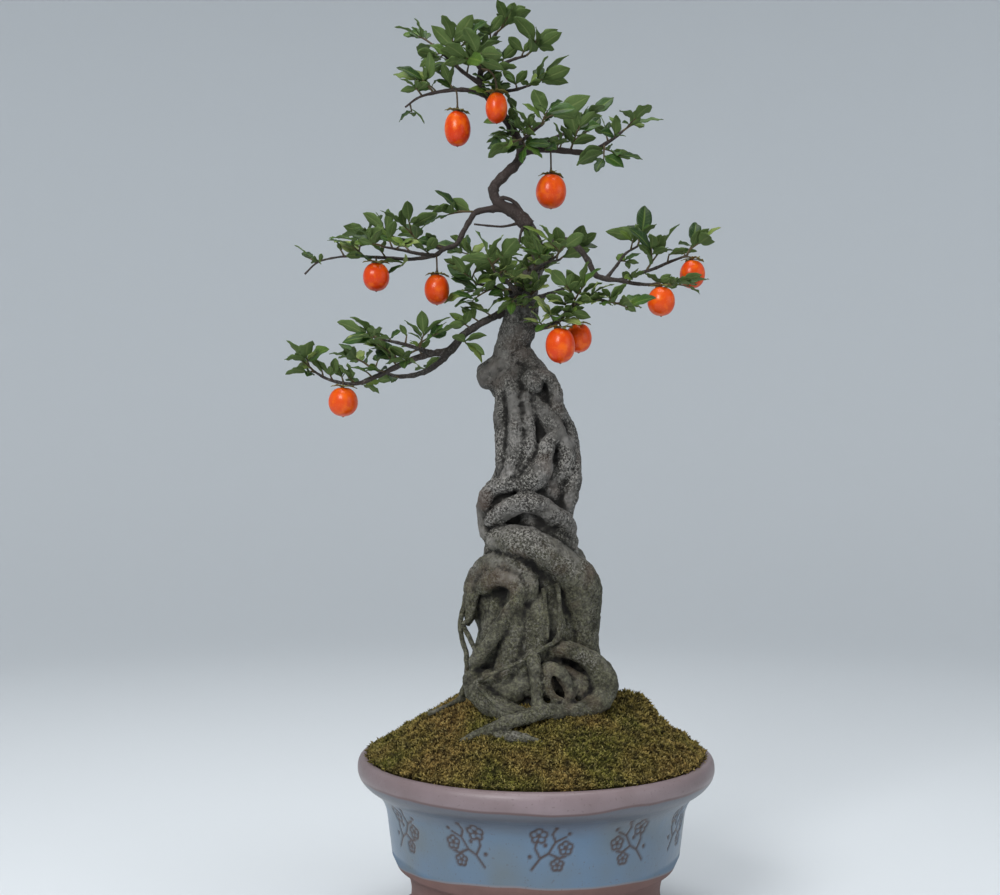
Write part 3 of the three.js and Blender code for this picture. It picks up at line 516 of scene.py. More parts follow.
def distances_along(line):
    """How far each point of a line is from its start, measured along it"""
    return np.concatenate([[0], np.cumsum(np.linalg.norm(np.diff(line, axis=0), axis=1))])


def unit(vectors):
    return vectors / np.linalg.norm(vectors, axis=-1, keepdims=True)


def strand(line, radii, sides, **marks):
    """A closed round strand along a line of points"""
    line = np.asarray(line, float)
    ahead = unit(np.gradient(line, axis=0))
    turns = 2 * math.pi * np.arange(sides)[:, None] / sides
    side = unit(np.cross(ahead[0], (0.31, 0.53, 0.79)))
    places = []
    for centre, forward, radius in zip(line, ahead, radii):
        side = unit(side - forward * (side @ forward))
        places.append(centre + radius * (np.cos(turns) * side + np.sin(turns) * np.cross(forward, side)))
    faces = [list(range(sides))[::-1], [(len(line) - 1) * sides + i for i in range(sides)]]
    for ring in range(len(line) - 1):
        for i in range(sides):
            j = (i + 1) % sides
            low, high = ring * sides, (ring + 1) * sides
            faces.append([low + i, low + j, high + j, high + i])
    spread = {name: np.repeat(value, sides) if np.ndim(value) else value for name, value in marks.items()}
    return part(np.concatenate(places), faces, **spread)


# %% [markdown]
# ## The roots that became a trunk
# Nobody carved this trunk: roots as thick as a finger grew down over each other, touched and fused. The list
# names each of them. Some are too fine for the plain solid, such as the hair roots that hang free on the
# left, and are only here.

# %% List the roots
ROOTS = {
    "heartwood": [
        (2, -5, 122, 30), (2, -5, 146, 42), (0, -4, 168, 46), (-2, -4, 192, 46), (-2, -3, 234, 40),
        (0, -2, 277, 37), (1, -1, 310, 34), (2, 0, 344, 31), (3, 0, 378, 28), (3, 0, 412, 25),
        (0, 0, 442, 21), (-14, 0, 465, 17),
    ],
    "left_core": [
        (-12, -4, 452, 14), (-14, -5, 420, 16), (-15, -5, 390, 18), (-24, -5, 362, 18), (-22, -6, 335, 17),
        (-28, -8, 308, 18), (-30, -10, 284, 18), (-25, -12, 262, 20), (-27, -14, 236, 22),
        (-30, -16, 205, 24),
    ],
    "left_inner": [
        (-16, -28, 290, 9), (-17, -34, 272, 10), (-18, -37, 254, 11), (-21, -39, 236, 11.5),
        (-26, -40, 214, 11),
    ],
    "toe_bed": [(-40, -38, 214, 10), (-24, -42, 205, 12), (-10, -44, 212, 12), (4, -44, 210, 12)],
    "loop_bed": [(8, -36, 226, 12), (22, -38, 216, 12), (34, -38, 208, 12)],
    "right_limb": [
        (-31, -24, 329, 10.5), (-18, -31, 328, 12.5), (-3, -35, 324, 14), (12, -33, 315, 15.5),
        (25, -27, 304, 17), (35, -21, 290, 18.5), (37, -16, 270, 18), (37, -14, 250, 17.5),
        (37, -13, 230, 17), (40, -12, 205, 16),
    ],
    "arch": [
        (-37, -19, 345, 6), (-30, -26, 350, 7.5), (-22, -30, 356, 8.5), (-11, -34, 360, 8.7),
        (2, -34, 358, 8.7), (11, -31, 352, 8.5), (20, -25, 346, 8.5), (25, -17, 339, 8.5), (27, -8, 330, 8),
        (25, 4, 318, 7),
    ],
    "left_ring": [
        (-10, -25, 378, 7), (-22, -26, 375, 7.5), (-34, -21, 373, 7.5), (-41, -15, 364, 7),
        (-44, -11, 353, 6.2), (-43, -10, 341, 6), (-40, -12, 331, 6), (-33, -15, 323, 6),
    ],
    "slit_left": [
        (-27, -10, 458, 7.5), (-28, -14, 431, 7), (-28, -16, 404, 7), (-25, -18, 383, 7.5),
        (-20, -19, 372, 7),
    ],
    "slit_middle": [
        (-22, -16, 462, 7), (-18, -22, 440, 7), (-17, -25, 415, 7.5), (-18, -26, 395, 8),
        (-25, -26, 378, 7.5),
    ],
    "slit_right": [
        (-9, -22, 448, 5), (-6, -26, 430, 5), (-5, -28, 412, 4.6), (-8, -28, 398, 5), (-16, -27, 385, 6),
    ],
    "knob": [(-6, -15, 455, 6.5), (-1, -22, 458, 6.2)],
    "eye_ring": [
        (-9, -14, 460, 5), (-6, -18, 464, 5), (-1, -19, 468, 5.2), (7, -19, 466, 5.4), (14, -19, 459, 5.6),
        (17, -20, 450, 6), (17, -19, 441, 6.5), (20, -16, 432, 7),
    ],
    "right_shoulder": [
        (-5, -4, 473, 12), (7, -4, 455, 11), (12, -5, 443, 11), (18, -7, 431, 12), (24, -8, 418, 12.5),
        (25, -9, 405, 12.5), (26, -8, 388, 12), (26, -6, 370, 11), (24, -4, 350, 10),
    ],
    "shoulder_front": [
        (-2, -17, 445, 6.5), (6, -20, 435, 8), (13, -21, 424, 8.7), (19, -22, 415, 8.5), (24, -22, 404, 8),
        (25, -21, 394, 7.5), (22, -19, 384, 7),
    ],
    "front_cord": [
        (15, -26, 415, 6.5), (9, -29, 406, 7.2), (7, -30, 397, 8), (4, -31, 387, 10), (-2, -30, 380, 10),
        (-10, -27, 374, 8),
    ],
    "right_cord": [(27, -16, 399, 6), (31, -18, 385, 6), (30, -19, 370, 6), (26, -18, 356, 6)],
    "burl": [(-14, 0, 480, 15), (-29, -2, 472, 15), (-38, -3, 468, 13.5)],
    "dome_high": [
        (-57, -14, 258, 3), (-55, -13, 268, 6), (-54, -13, 280, 7.5), (-51, -15, 294, 8),
        (-45, -20, 304, 8), (-34, -27, 309, 8.5), (-22, -33, 310, 8.5), (-13, -36, 305, 8),
        (-7, -37, 296, 7.5), (-6, -36, 286, 7), (-9, -33, 276, 6),
    ],
    "dome_low": [
        (-44, -25, 289, 7), (-35, -30, 296, 8), (-23, -36, 297, 8.5), (-16, -39, 289, 8),
        (-17, -41, 279, 6.8), (-23, -43, 271, 6), (-30, -45, 259, 5.8), (-37, -45, 248, 5.8),
        (-44, -43, 239, 6), (-50, -38, 229, 6.5),
    ],
    "left_flank": [
        (-46, -4, 296, 11), (-47, -5, 277, 11), (-42, -5, 263, 10), (-38, -5, 250, 10),
        (-41, -7, 236, 10.5), (-46, -10, 214, 11.5), (-49, -14, 188, 11),
    ],
    "hollow_column": [
        (4, -27, 287, 7.5), (1, -32, 275, 10), (-1, -37, 262, 12), (-2, -39, 248, 12.5), (-5, -42, 236, 11),
        (-11, -45, 222, 9),
    ],
    "loop_foot": [
        (11, -40, 239, 7), (22, -43, 240, 7.5), (35, -44, 236, 8.5), (47, -42, 228, 10.5),
        (54, -40, 216, 12), (55, -42, 205, 11.5), (49, -49, 197, 9), (34, -56, 193, 7), (18, -60, 192, 6.8),
        (7, -63, 193, 6.5),
    ],
    "middle_toe": [
        (-5, -47, 238, 6), (-3, -56, 232, 5.5), (-2, -59, 224, 5), (-1, -61, 213, 4.8), (0, -64, 201, 5),
        (2, -68, 192, 5.5),
    ],
    "curl_high": [
        (3, -50, 222, 4.5), (12, -52, 226, 5), (19, -53, 222, 5), (24, -52, 213, 5), (27, -52, 202, 4.5),
    ],
    "curl_low": [
        (9, -55, 224, 3.2), (7, -58, 214, 3.6), (11, -59, 205, 3.8), (18, -58, 201, 3.6), (26, -56, 197, 3),
    ],
    "front_toe": [
        (10, -64, 195, 5), (-2, -70, 192, 6), (-13, -74, 189, 6), (-25, -76, 186, 6), (-37, -77, 182, 5.5),
        (-48, -77, 178, 4.5), (-60, -76, 171, 3.5),
    ],
    "buried_toe": [
        (-41, -78, 178, 4), (-29, -82, 176, 4.5), (-16, -86, 176, 5), (-5, -88, 174, 4), (5, -89, 171, 3),
    ],
    "left_toe": [
        (-52, -36, 214, 9), (-47, -46, 204, 10), (-38, -54, 196, 10), (-26, -60, 191, 9),
        (-14, -63, 189, 7),
    ],
    "surface_root": [(-54, -16, 203, 7), (-65, -16, 194, 3.5), (-77, -17, 188, 2.4), (-89, -18, 183, 1.8)],
    "back_descending": [
        (30, 24, 308, 13), (18, 36, 281, 14), (-12, 38, 252, 14), (-38, 33, 226, 13), (-50, 32, 196, 12),
        (-60, 40, 176, 8),
    ],
    "back_crossing": [
        (-30, 20, 326, 10), (-18, 34, 307, 12), (10, 38, 278, 12), (33, 32, 244, 13), (42, 28, 212, 13),
        (52, 34, 180, 9),
    ],
    "back_left_turn": [
        (6, 16, 449, 10), (11, 24, 413, 11), (-2, 28, 376, 12), (-24, 25, 343, 12), (-28, 28, 308, 12),
    ],
    "back_right_turn": [
        (-16, 12, 462, 9), (-20, 18, 430, 10), (-9, 26, 395, 10), (14, 27, 360, 11), (26, 20, 326, 11),
    ],
    "back_toe_right": [(23, 41, 236, 10), (17, 54, 203, 10), (12, 64, 185, 8), (8, 74, 176, 5)],
    "back_toe_left": [(-23, 42, 236, 9), (-29, 53, 203, 9), (-37, 62, 185, 7), (-46, 71, 175, 4)],
    "right_flank": [(42, 8, 276, 9), (44, 10, 241, 10), (50, 12, 210, 11), (62, 16, 182, 7)],
}
HAIR_ROOTS = {
    "hair_left": [
        (-57, -15, 285, 2.4), (-61, -16, 271, 2), (-63.5, -16, 257, 2.2), (-61.5, -17, 243, 2),
        (-58.5, -18, 234, 2.2), (-58, -20, 222, 2), (-58.5, -22, 210, 2.2), (-63, -24, 199, 2.2),
    ],
    "hair_second": [(-48, -20, 288, 2.4), (-52, -20, 273, 2), (-55, -20, 263, 2.2), (-62, -18, 257, 2.2)],
    "hair_third": [(-62, -16, 257, 2), (-57, -18, 249, 1.8), (-53, -20, 241, 2), (-46, -24, 231, 2.6)],
    "hair_across": [
        (17, -47, 250, 2.2), (13, -51, 246, 1.6), (8, -52, 244, 1.5), (-2, -55, 238, 1.6),
        (-13, -57, 232, 1.5), (-28, -58, 226, 1.6), (-41, -56, 220, 1.7), (-49, -50, 214, 2.2),
        (-54, -43, 209, 2.6),
    ],
    "hair_right": [
        (17, -36, 292, 2.2), (18, -43, 283, 1.6), (19, -46, 268, 1.6), (18, -48, 256, 1.7),
        (15, -50, 247, 1.8),
    ],
    "hair_toe": [
        (-50, -50, 214, 2.2), (-46, -57, 210, 1.7), (-38, -63, 203, 1.7), (-29, -68, 196, 1.8),
        (-19, -70, 192, 2),
    ],
    "hair_groove": [(6, -36, 289, 1.8), (7, -42, 275, 1.3), (9, -46, 262, 1.3), (8, -50, 249, 1.5)],
}
print("roots", len(ROOTS), "hair roots", len(HAIR_ROOTS))

# %% [markdown]
# ## Stem and limbs
# Above the braid one stem snakes up to the crown, and limbs leave it like shelves. They are the same curves
# as in the solid. The lowest part of the stem is fused into the trunk, the rest stays slender.

# %% List the limbs
LIMBS = {
    "stem": [
        (-20, 0, 463, 20), (-21, 0, 486, 16), (-14, 0, 510, 14.5), (-11, 0, 530, 12.5), (-5, 1, 550, 9.5),
        (0, 2, 568, 7.4), (0, 2, 581, 6), (-6, 0, 594, 5.6), (-17, -2, 605, 5.4), (-30, -3, 612, 4.8),
        (-35, -2, 620, 4.3), (-35, 0, 628, 4.2), (-25.5, 2, 639, 4.2), (-16.5, 4, 648, 4.1),
        (-12, 5, 658, 4), (-16, 4, 671, 3.8), (-24, 2, 684, 3.6), (-33, 0, 695, 3.4), (-41, 0, 705, 3.2),
        (-47, 2, 716, 2.8), (-46, 4, 732, 2.2), (-40, 4, 749, 1.7), (-33, 3, 760, 1.3),
    ],
    "low_left": [
        (-18, 0, 523, 3.8), (-30, -4, 519, 3.2), (-47, -10, 510, 3), (-61, -14, 500, 3.1),
        (-72, -16, 487, 3.6), (-86, -20, 484, 2.8), (-102, -24, 479, 2.6), (-117, -26, 472, 2.3),
        (-132, -24, 465, 2), (-149, -20, 459, 1.7), (-164, -16, 460, 1.4), (-177, -14, 464, 1.2),
        (-187, -12, 470, 1),
    ],
    "low_left_back": [
        (-72, -16, 487, 2.9), (-81, -8, 478, 2.6), (-94, 4, 471, 2.3), (-110, 16, 468, 2),
        (-126, 28, 470, 1.6), (-145, 40, 478, 1.2),
    ],
    "low_left_front": [
        (-86, -20, 484, 2.1), (-96, -36, 486, 1.7), (-110, -50, 489, 1.4), (-124, -60, 491, 1),
    ],
    "mid_left": [
        (-24, -3, 609, 3.2), (-37, -4, 608, 2.8), (-50, -6, 605, 2.5), (-56, -8, 597, 2.3),
        (-61, -9, 588, 2.2), (-67, -10, 577, 2.2), (-77, -11, 573, 2), (-86, -12, 567, 1.7),
        (-105, -13, 564, 1.5), (-123, -13, 565, 1.4), (-138, -12, 566, 1.2), (-152, -11, 567, 1),
        (-168, -10, 566, 0.9), (-184, -9, 562, 0.8), (-195, -9, 552, 0.8),
    ],
    "mid_left_back": [
        (-77, -11, 573, 1.9), (-92, 6, 580, 1.6), (-108, 22, 586, 1.4), (-125, 34, 590, 1.2),
        (-140, 42, 591, 0.9),
    ],
    "mid_left_front": [
        (-86, -12, 567, 1.6), (-98, -28, 566, 1.4), (-112, -40, 567, 1.1), (-125, -48, 568, 0.9),
    ],
    "upper_right": [
        (-12, 5, 658, 3.2), (0, 2, 660, 2.9), (12, -2, 659, 2.6), (27, -4, 657, 2.4), (42, -4, 656, 2.2),
        (55, -3, 661, 1.8), (67, -2, 669, 1.4), (74, 0, 675, 1.1),
    ],
    "upper_right_back": [(0, 2, 660, 2.1), (9, 18, 670, 1.7), (22, 32, 680, 1.4), (37, 42, 688, 1)],
    "upper_right_front": [(-12, 5, 658, 2.2), (-12, -14, 662, 1.7), (-5, -30, 665, 1.4), (4, -42, 669, 1)],
    "mid_right": [
        (0, 2, 568, 3.2), (12, 8, 580, 2.9), (26, 10, 584, 2.7), (37, 8, 577, 2.6), (45, 6, 566, 2.5),
        (51, 4, 554, 2.4), (60, 3, 550, 2.2), (72, 0, 548, 1.8), (83, -4, 545, 1.6), (96, -10, 543, 1.3),
        (107, -16, 542, 1),
    ],
    "mid_right_up": [(60, 3, 550, 1.5), (69, 6, 561, 1.3), (77, 8, 572, 1.1), (88, 10, 579, 0.9)],
    "mid_right_back": [
        (72, 0, 548, 1.7), (85, 8, 554, 1.5), (102, 12, 560, 1.4), (118, 14, 567, 1.2), (131, 15, 572, 0.9),
    ],
    "low_right": [
        (-10, -4, 516, 3.1), (-2, -14, 506, 2.6), (7, -22, 506, 2.2), (17, -28, 509, 2.1),
        (26, -32, 518, 1.7), (36, -36, 524, 1.5), (49, -40, 526, 1.2), (60, -42, 524, 1),
    ],
    "low_right_back": [(-6, 4, 532, 2.6), (6, 18, 537, 2.1), (21, 32, 544, 1.6), (35, 44, 551, 1.1)],
    "centre_front": [(-11, 0, 531, 3.4), (-17, -20, 536, 2.2), (-25, -38, 542, 1.7), (-35, -52, 548, 1.2)],
    "centre_right": [(-5, 1, 550, 2.9), (0, -16, 555, 2.1), (8, -32, 558, 1.5), (16, -44, 561, 1)],
    "centre_left": [(-10, 0, 533, 2.9), (-26, -8, 539, 2.1), (-40, -16, 541, 1.5), (-50, -22, 542, 1.1)],
    "centre_back_left": [(-8, 2, 540, 3.1), (-22, 22, 555, 2.2), (-35, 40, 566, 1.7), (-48, 54, 573, 1.1)],
    "centre_back_right": [(-5, 4, 547, 2.9), (5, 24, 560, 2.1), (14, 42, 570, 1.5), (23, 54, 575, 1.1)],
    "apex_left": [
        (-41, 0, 705, 2.2), (-56, -6, 708, 1.9), (-71, -10, 707, 1.6), (-86, -12, 704, 1.4),
        (-99, -12, 700, 1), (-110, -12, 692, 0.8),
    ],
    "apex_up_left": [(-47, 2, 716, 1.9), (-61, 0, 725, 1.6), (-73, -2, 735, 1.4), (-84, -3, 745, 1.1)],
    "apex_right": [(-41, 0, 705, 1.9), (-30, -4, 707, 1.5), (-17, -8, 708, 1.3), (-5, -10, 711, 0.9)],
    "apex_up_right": [(-46, 2, 719, 1.9), (-34, 0, 729, 1.5), (-20, -2, 735, 1.3), (-8, -4, 738, 1)],
    "apex_back": [(-46, 3, 726, 1.7), (-49, 20, 740, 1.4), (-53, 34, 751, 1)],
    "apex_front": [(-46, 2, 721, 1.7), (-47, -18, 722, 1.4), (-52, -32, 724, 1)],
    "bare_twig_left": [(-10, -1, 598, 1.5), (-26, -6, 593, 1), (-39, -8, 593, 0.9), (-52, -10, 594, 0.8)],
    "bare_twig_down": [(-10, -1, 596, 1.4), (-13, -8, 585, 1), (-15, -12, 572, 0.9)],
    "loop_twig": [
        (-34, -2, 611, 1.8), (-29, -5, 617, 1.6), (-20, -5, 615, 1.6), (-13, -5, 608, 1.6),
        (-9, -4, 600, 1.8), (-6, -1, 592, 2),
    ],
}
STEM_IN_TRUNK, STEM_OVERLAP = 9, 2  # how many of the stem's points are in the trunk's skin, and in both
print("limbs", len(LIMBS))

# %% [markdown]
# ## Growing the trunk together
# Overlapping tubes alone would meet in knife-sharp seams. A voxel remesh wraps one skin round all of them,
# as growth did, and a little smoothing rounds the seams. Muscle-like ridges are given to every root before
# that, so that they run along it. Sculpting by hand would be the other way, but a rule stays repeatable.

# %% Fuse the roots
SKIN_STEP = 1.58
ROOT_SIDES, ROOT_STEPS = 24, 5  # rings between two of its points
RIDGES, RIDGE_DEPTH, RIDGE_TWIST = 3, 0.035, 0.02
SWELL, SWELL_LENGTH = 0.06, 11
END_RINGS, END_TURN = 5, 0.97


def round_ended(walked):
    """Adds rings to both ends that close them like a fingertip"""
    turns = np.linspace(0, math.pi / 2, END_RINGS + 1)[1:] * END_TURN
    caps = []
    for end, before in ((walked[0], walked[1]), (walked[-1], walked[-2])):
        out = unit(end[:3] - before[:3])
        caps.append([(*(end[:3] + out * end[3] * math.sin(t)), end[3] * math.cos(t)) for t in turns])
    return np.concatenate([caps[0][::-1], walked, caps[1]])


def ridged_root(points, number):
    """A root with soft ridges that wind slowly round it"""
    walked = round_ended(walk(points, ROOT_STEPS * (len(points) - 1)))
    places, faces, _ = strand(walked[:, :3], walked[:, 3], ROOT_SIDES)
    rings = places.reshape(len(walked), ROOT_SIDES, 3)
    turns = 2 * math.pi * np.arange(ROOT_SIDES) / ROOT_SIDES
    length = distances_along(walked[:, :3])[:, None]
    wave = RIDGE_DEPTH * np.cos(RIDGES * turns + RIDGE_TWIST * length + 1.7 * number)
    swell = SWELL * np.sin(length / SWELL_LENGTH + 2.3 * number)
    rings += (rings - walked[:, None, :3]) * (wave + swell)[..., None]
    return part(rings.reshape(-1, 3), faces)


def one_skin(made):
    """Wraps one closed skin round overlapping closed shapes"""
    rough = mesh_of("rough", made, pot_skin)
    wrap = rough.modifiers.new("skin", "REMESH")
    wrap.mode = "VOXEL"
    wrap.voxel_size = SKIN_STEP * MM
    even = rough.modifiers.new("even", "SMOOTH")
    even.factor = 0.5
    even.iterations = 2
    worn = rough.evaluated_get(bpy.context.evaluated_depsgraph_get())
    mesh = bpy.data.meshes.new_from_object(worn)
    bpy.data.objects.remove(rough)
    return mesh


strands = [ridged_root(points, number) for number, points in enumerate(ROOTS.values())]
strands.append(ridged_root(LIMBS["stem"][:STEM_IN_TRUNK], 0.4))
trunk_mesh = one_skin(together(strands))
print("trunk skin", len(trunk_mesh.vertices), "points")

# %% [markdown]
# ## Bark in relief
# The bark has broad dents, knots the size of a pea, and fine cracks between small plates. Each is a noise of
# its own size that moves the skin along its normal. How deep a point lies in a crease or a hollow is found
# by comparing it with its smoothed surroundings, and is kept as a mark under which the finish paints shade.

# %% Press the bark into the trunk
BARK_LUMPS = [(30, 1.5), (10, 0.9), (4.2, 0.5)]  # size and height
PLATE_SIZE, CRACK_DEPTH, CRACK_WIDTH = 5.0, 0.5, 0.16
PLATED_SIZE = 25  # stretches with plates and stretches without them are so long
CREASE_ROUNDS, HOLLOW_ROUNDS = 10, 61
noise.seed_set(5)  # the vector noise would otherwise start from the clock


def read(items, field, width, kind=np.float32):
    values = np.zeros(len(items) * width, kind)
    items.foreach_get(field, values)
    return values.reshape(-1, width)


def lumps(places, size, shift):
    offset = Vector((shift, 2 * shift, 3 * shift))
    return np.array([noise.fractal(Vector(p) / size + offset, 0.8, 2.0, 2) for p in places])


def relief(places, rows):
    return sum(height * lumps(places, size, size) for size, height in rows)


def cracks(places):
    """1 on the border between two plates of bark, falling to 0 inside them"""
    gaps = []
    for place in places:
        warp = noise.noise_vector(place / (2 * PLATE_SIZE)) * 0.6
        near = noise.voronoi(place / PLATE_SIZE + warp)[0]
        gaps.append(near[1] - near[0])
    return np.clip(1 - np.array(gaps) / CRACK_WIDTH, 0, 1)


def smoothed(values, edges, rounds):
    """Each point's value drawn towards its neighbours', so many times"""
    ends = np.concatenate([edges, edges[:, ::-1]])
    degree = np.bincount(ends[:, 0], minlength=len(values))[:, None]
    for _ in range(rounds):
        pulled = np.stack([np.bincount(ends[:, 0], values[ends[:, 1], k], len(values)) for k in range(3)], 1)
        values = 0.5 * values + 0.5 * pulled / degree
    return values


def press_bark(mesh):
    places = read(mesh.vertices, "co", 3).astype(float) / MM
    normals = read(mesh.vertex_normals, "vector", 3).astype(float)
    edges = read(mesh.edges, "vertices", 2, np.int32)
    vectors = [Vector(p) for p in places]
    crack = cracks(vectors) * np.clip(lumps(vectors, PLATED_SIZE, 7) * 2 + 0.6, 0, 1)
    places = places + normals * (relief(vectors, BARK_LUMPS) - CRACK_DEPTH * crack)[:, None]
    rounds = {"crease": CREASE_ROUNDS, "hollow": HOLLOW_ROUNDS}
    marks = {name: ((smoothed(places, edges, n) - places) * normals).sum(1) for name, n in rounds.items()}
    return places, {**marks, "crack": crack}


trunk_places, trunk_marks = press_bark(trunk_mesh)
trunk_faces = [list(face.vertices) for face in trunk_mesh.polygons]
for name, values in trunk_marks.items():
    print(name, "mm", np.round(np.percentile(values, [2, 50, 98]), 2).tolist())


# %% [markdown]
# ## Bark colour
# Old persimmon bark is a mid grey, mottled with darker and paler specks. Its creases and hollows are painted
# nearly black as shade, its ridge tops carry pale patches that are partly wear and partly painted highlight,
# and the top of the trunk is painted darker as the crown's shadow. Low on the trunk, damp moss and soil
# stain it olive and brown, and under the crown it is younger and browner. Height and noise place these
# stains and this painted light and shade. The limbs and hair roots use the same recipe.

# %% Mix the bark
DAMP = (0.355, 0.285)  # heights in metres between which each stain grows to its full strength
# the first pair: where the painted shadow of the crown on the top of the trunk grows to full strength
CROWN_SHADOW_HEIGHTS, YOUNGER = (0.37, 0.47), (0.54, 0.6)


def bark_finish(name, pale, dark, grainy, stain):
    """Grainy is how much of the bark is granular, stain how strongly damp colours its foot"""
    bark = Finish(name, Specular_IOR_Level=0.3)
    height, crease, granule = bark.height(), bark.mark("crease"), bark.grain(1.9, 3, 0.8)
    base = bark.blend(bark.between(bark.grain(19, 4, 0.6), 0.34, 0.66), dark, pale)
    # pale patches on the ridge tops: partly wear, partly a painted highlight where the ridges catch the
    # light
    worn = bark.times(bark.between(crease, -0.1, -0.9), bark.patches(13, 2, 0.4, 0.6))
    zone = bark.plus(bark.grain(21, 4, 0.6), bark.times(crease, 0.05))
    zone = bark.times(bark.between(zone, 0.37, 0.53), grainy)
    damp = bark.times(bark.between(height, *DAMP), stain)
    patch = bark.between(bark.plus(bark.grain(24, 4, 0.65), bark.times(damp, 0.3)), 0.49, 0.77)
    algae = bark.blend(bark.between(bark.grain(2.4, 3, 0.7), 0.42, 0.66), (40, 40, 28), (112, 112, 86))
    shade = bark.coats(
        base,
        # painted highlight, partly wear: pale on the ridge tops
        (bark.times(worn, 0.6), (160, 157, 154)),
        (bark.times(bark.between(granule, 0.53, 0.6), zone), (164, 161, 154)),
        (bark.times(bark.between(granule, 0.49, 0.43), zone), (30, 27, 24)),
        (bark.times(damp, 0.25), (86, 82, 54)),
        (bark.times(bark.times(patch, damp), 0.65), algae),
        (bark.times(bark.times(bark.patches(12, 3, 0.5, 0.68), damp), 0.62), (36, 34, 27)),
        (bark.times(bark.patches(31, 2, 0.56, 0.72), stain * 0.4), (80, 59, 46)),
        (bark.between(bark.mark("crack"), 0.2, 1.6), (40, 36, 33)),
        # painted shadow of the crown: the top of the trunk darker
        (bark.times(bark.between(height, *CROWN_SHADOW_HEIGHTS), 0.5), (54, 54, 50)),
        (bark.times(bark.between(height, *YOUNGER), 0.6), (56, 44, 42)),
        # painted shade: hollows and creases darkened nearly to black
        (bark.between(bark.mark("hollow"), -0.1, 2.2), (25, 23, 19)),
        (bark.between(crease, 0.05, 0.9), (18, 16, 14)),
    )
    rough = bark.times(granule, bark.plus(bark.times(zone, 1.4), 0.25))
    return bark.finished(shade, 0.8, bark.plus(rough, bark.times(bark.grain(5, 3), 0.5)), 1.1)


trunk_skin = bark_finish("grey braided bark", (121, 118, 114), (60, 58, 54), 1.0, 1.0)
make_piece("braided_trunk", part(trunk_places, trunk_faces, **trunk_marks), trunk_skin, ["wood"])

# %% [markdown]
# ## Slender limbs
# The limbs and twigs are too thin for the voxel skin, so each is a tube of its own that starts inside the
# wood that carries it. Rings every couple of millimetres swell at the buds and at the collar where the limb
# leaves the stem, and a slow noise keeps them from looking like wire.

# %% Grow the limbs
LIMB_STEP, LIMB_SIDES, LEAST_STEPS = 2.2, 10, 6
COLLAR, COLLAR_REACH = 0.25, 7  # swellings are shares of the limb's radius
BUD_SWELL, BUD_SPACING, BUD_LENGTH = 0.16, 13, 1.8
WANDER, WANDER_SIZE = 0.16, 3.5


def slender_limb(points, number):
    length = sum(math.dist(a[:3], b[:3]) for a, b in zip(points, points[1:]))
    steps = max(LEAST_STEPS, round(length / LIMB_STEP))
    walked = walk(points, steps)
    far = distances_along(walked[:, :3])
    bud = BUD_SWELL * np.exp(-(((far + 5 * number) % BUD_SPACING - BUD_SPACING / 2) / BUD_LENGTH) ** 2)
    radii = walked[:, 3] * (1 + bud + COLLAR * np.exp(-far / COLLAR_REACH))
    places, faces, marks = strand(walked[:, :3], radii, LIMB_SIDES, crack=0, crease=0, hollow=0)
    rings = places.reshape(steps + 1, LIMB_SIDES, 3)
    waver = np.array([noise.noise(Vector(p) / WANDER_SIZE) for p in places])
    rings += (rings - walked[:, None, :3]) * waver.reshape(steps + 1, LIMB_SIDES, 1) * WANDER
    return part(rings.reshape(-1, 3), faces, **marks)


def slender_limbs(lines):
    return together([slender_limb(points, number) for number, points in enumerate(lines.values())])


limb_lines = {**LIMBS, "stem": LIMBS["stem"][STEM_IN_TRUNK - STEM_OVERLAP:]}
limb_skin = bark_finish("brown young bark", (84, 70, 65), (38, 30, 28), 0.4, 0.0)
make_piece("limbs", slender_limbs(limb_lines), limb_skin, ["wood"])
make_piece("hair_roots", slender_limbs(HAIR_ROOTS), trunk_skin, ["wood"])

# %% [markdown]
# ## Where the leaves grow
# The solids hold every large leaf, and each is worked out by a rule: a spray has a main shoot and a side
# shoot, buds sit at set places along them, and a seeded draw turns, lifts and rolls the leaf of each bud. A
# leaf that would cut through something is drawn again. The same rule is repeated here number for number, so
# that the fine leaves lie where the plain ones do.

# %% List the sprays and the fruits
SPRAYS = [
    ("apex_up_left", 1, (-100, -6, 754)), ("apex_up_left", 0.5, (-70, -22, 746)), ("stem", 1, (-23, 2, 767)),
    ("apex_back", 1, (-50, 50, 771)), ("apex_up_right", 1, (4, -8, 745)), ("apex_right", 1, (6, -14, 715)),
    ("apex_left", 0.6, (-95, -22, 712)), ("apex_front", 1, (-58, -48, 721)),
    ("upper_right_front", 0.45, (-26, -26, 656)), ("upper_right_front", 1, (8, -56, 676)),
    ("upper_right_back", 1, (46, 54, 701)), ("upper_right", 0.45, (37, -14, 676)),
    ("upper_right", 1, (84, 0, 681)), ("upper_right", 0.75, (57, -14, 647)),
    ("mid_left_back", 1, (-152, 54, 598)), ("mid_left_back", 0.4, (-114, 12, 598)),
    ("mid_left", 0.14, (-76, -12, 601)), ("mid_left", 0.75, (-155, -22, 574)),
    ("mid_left_front", 1, (-133, -60, 568)), ("centre_left", 1, (-60, -34, 549)),
    ("centre_left", 0.5, (-53, -28, 527)), ("centre_front", 1, (-40, -66, 556)),
    ("centre_right", 1, (22, -56, 567)), ("centre_back_left", 1, (-57, 68, 583)),
    ("centre_back_right", 1, (35, 66, 584)), ("low_right", 1, (74, -48, 518)),
    ("low_right", 0.6, (38, -50, 536)), ("mid_right_up", 1, (92, 12, 590)),
    ("mid_right_back", 1, (137, 20, 583)), ("mid_right", 1, (127, -20, 540)),
    ("mid_right_back", 0.4, (109, 2, 576)), ("low_left", 1, (-197, -16, 479)),
    ("low_left", 0.55, (-131, -36, 490)), ("low_left_back", 1, (-160, 50, 487)),
    ("low_left_front", 1, (-134, -70, 492)), ("low_left_front", 0.35, (-92, -50, 497)),
]
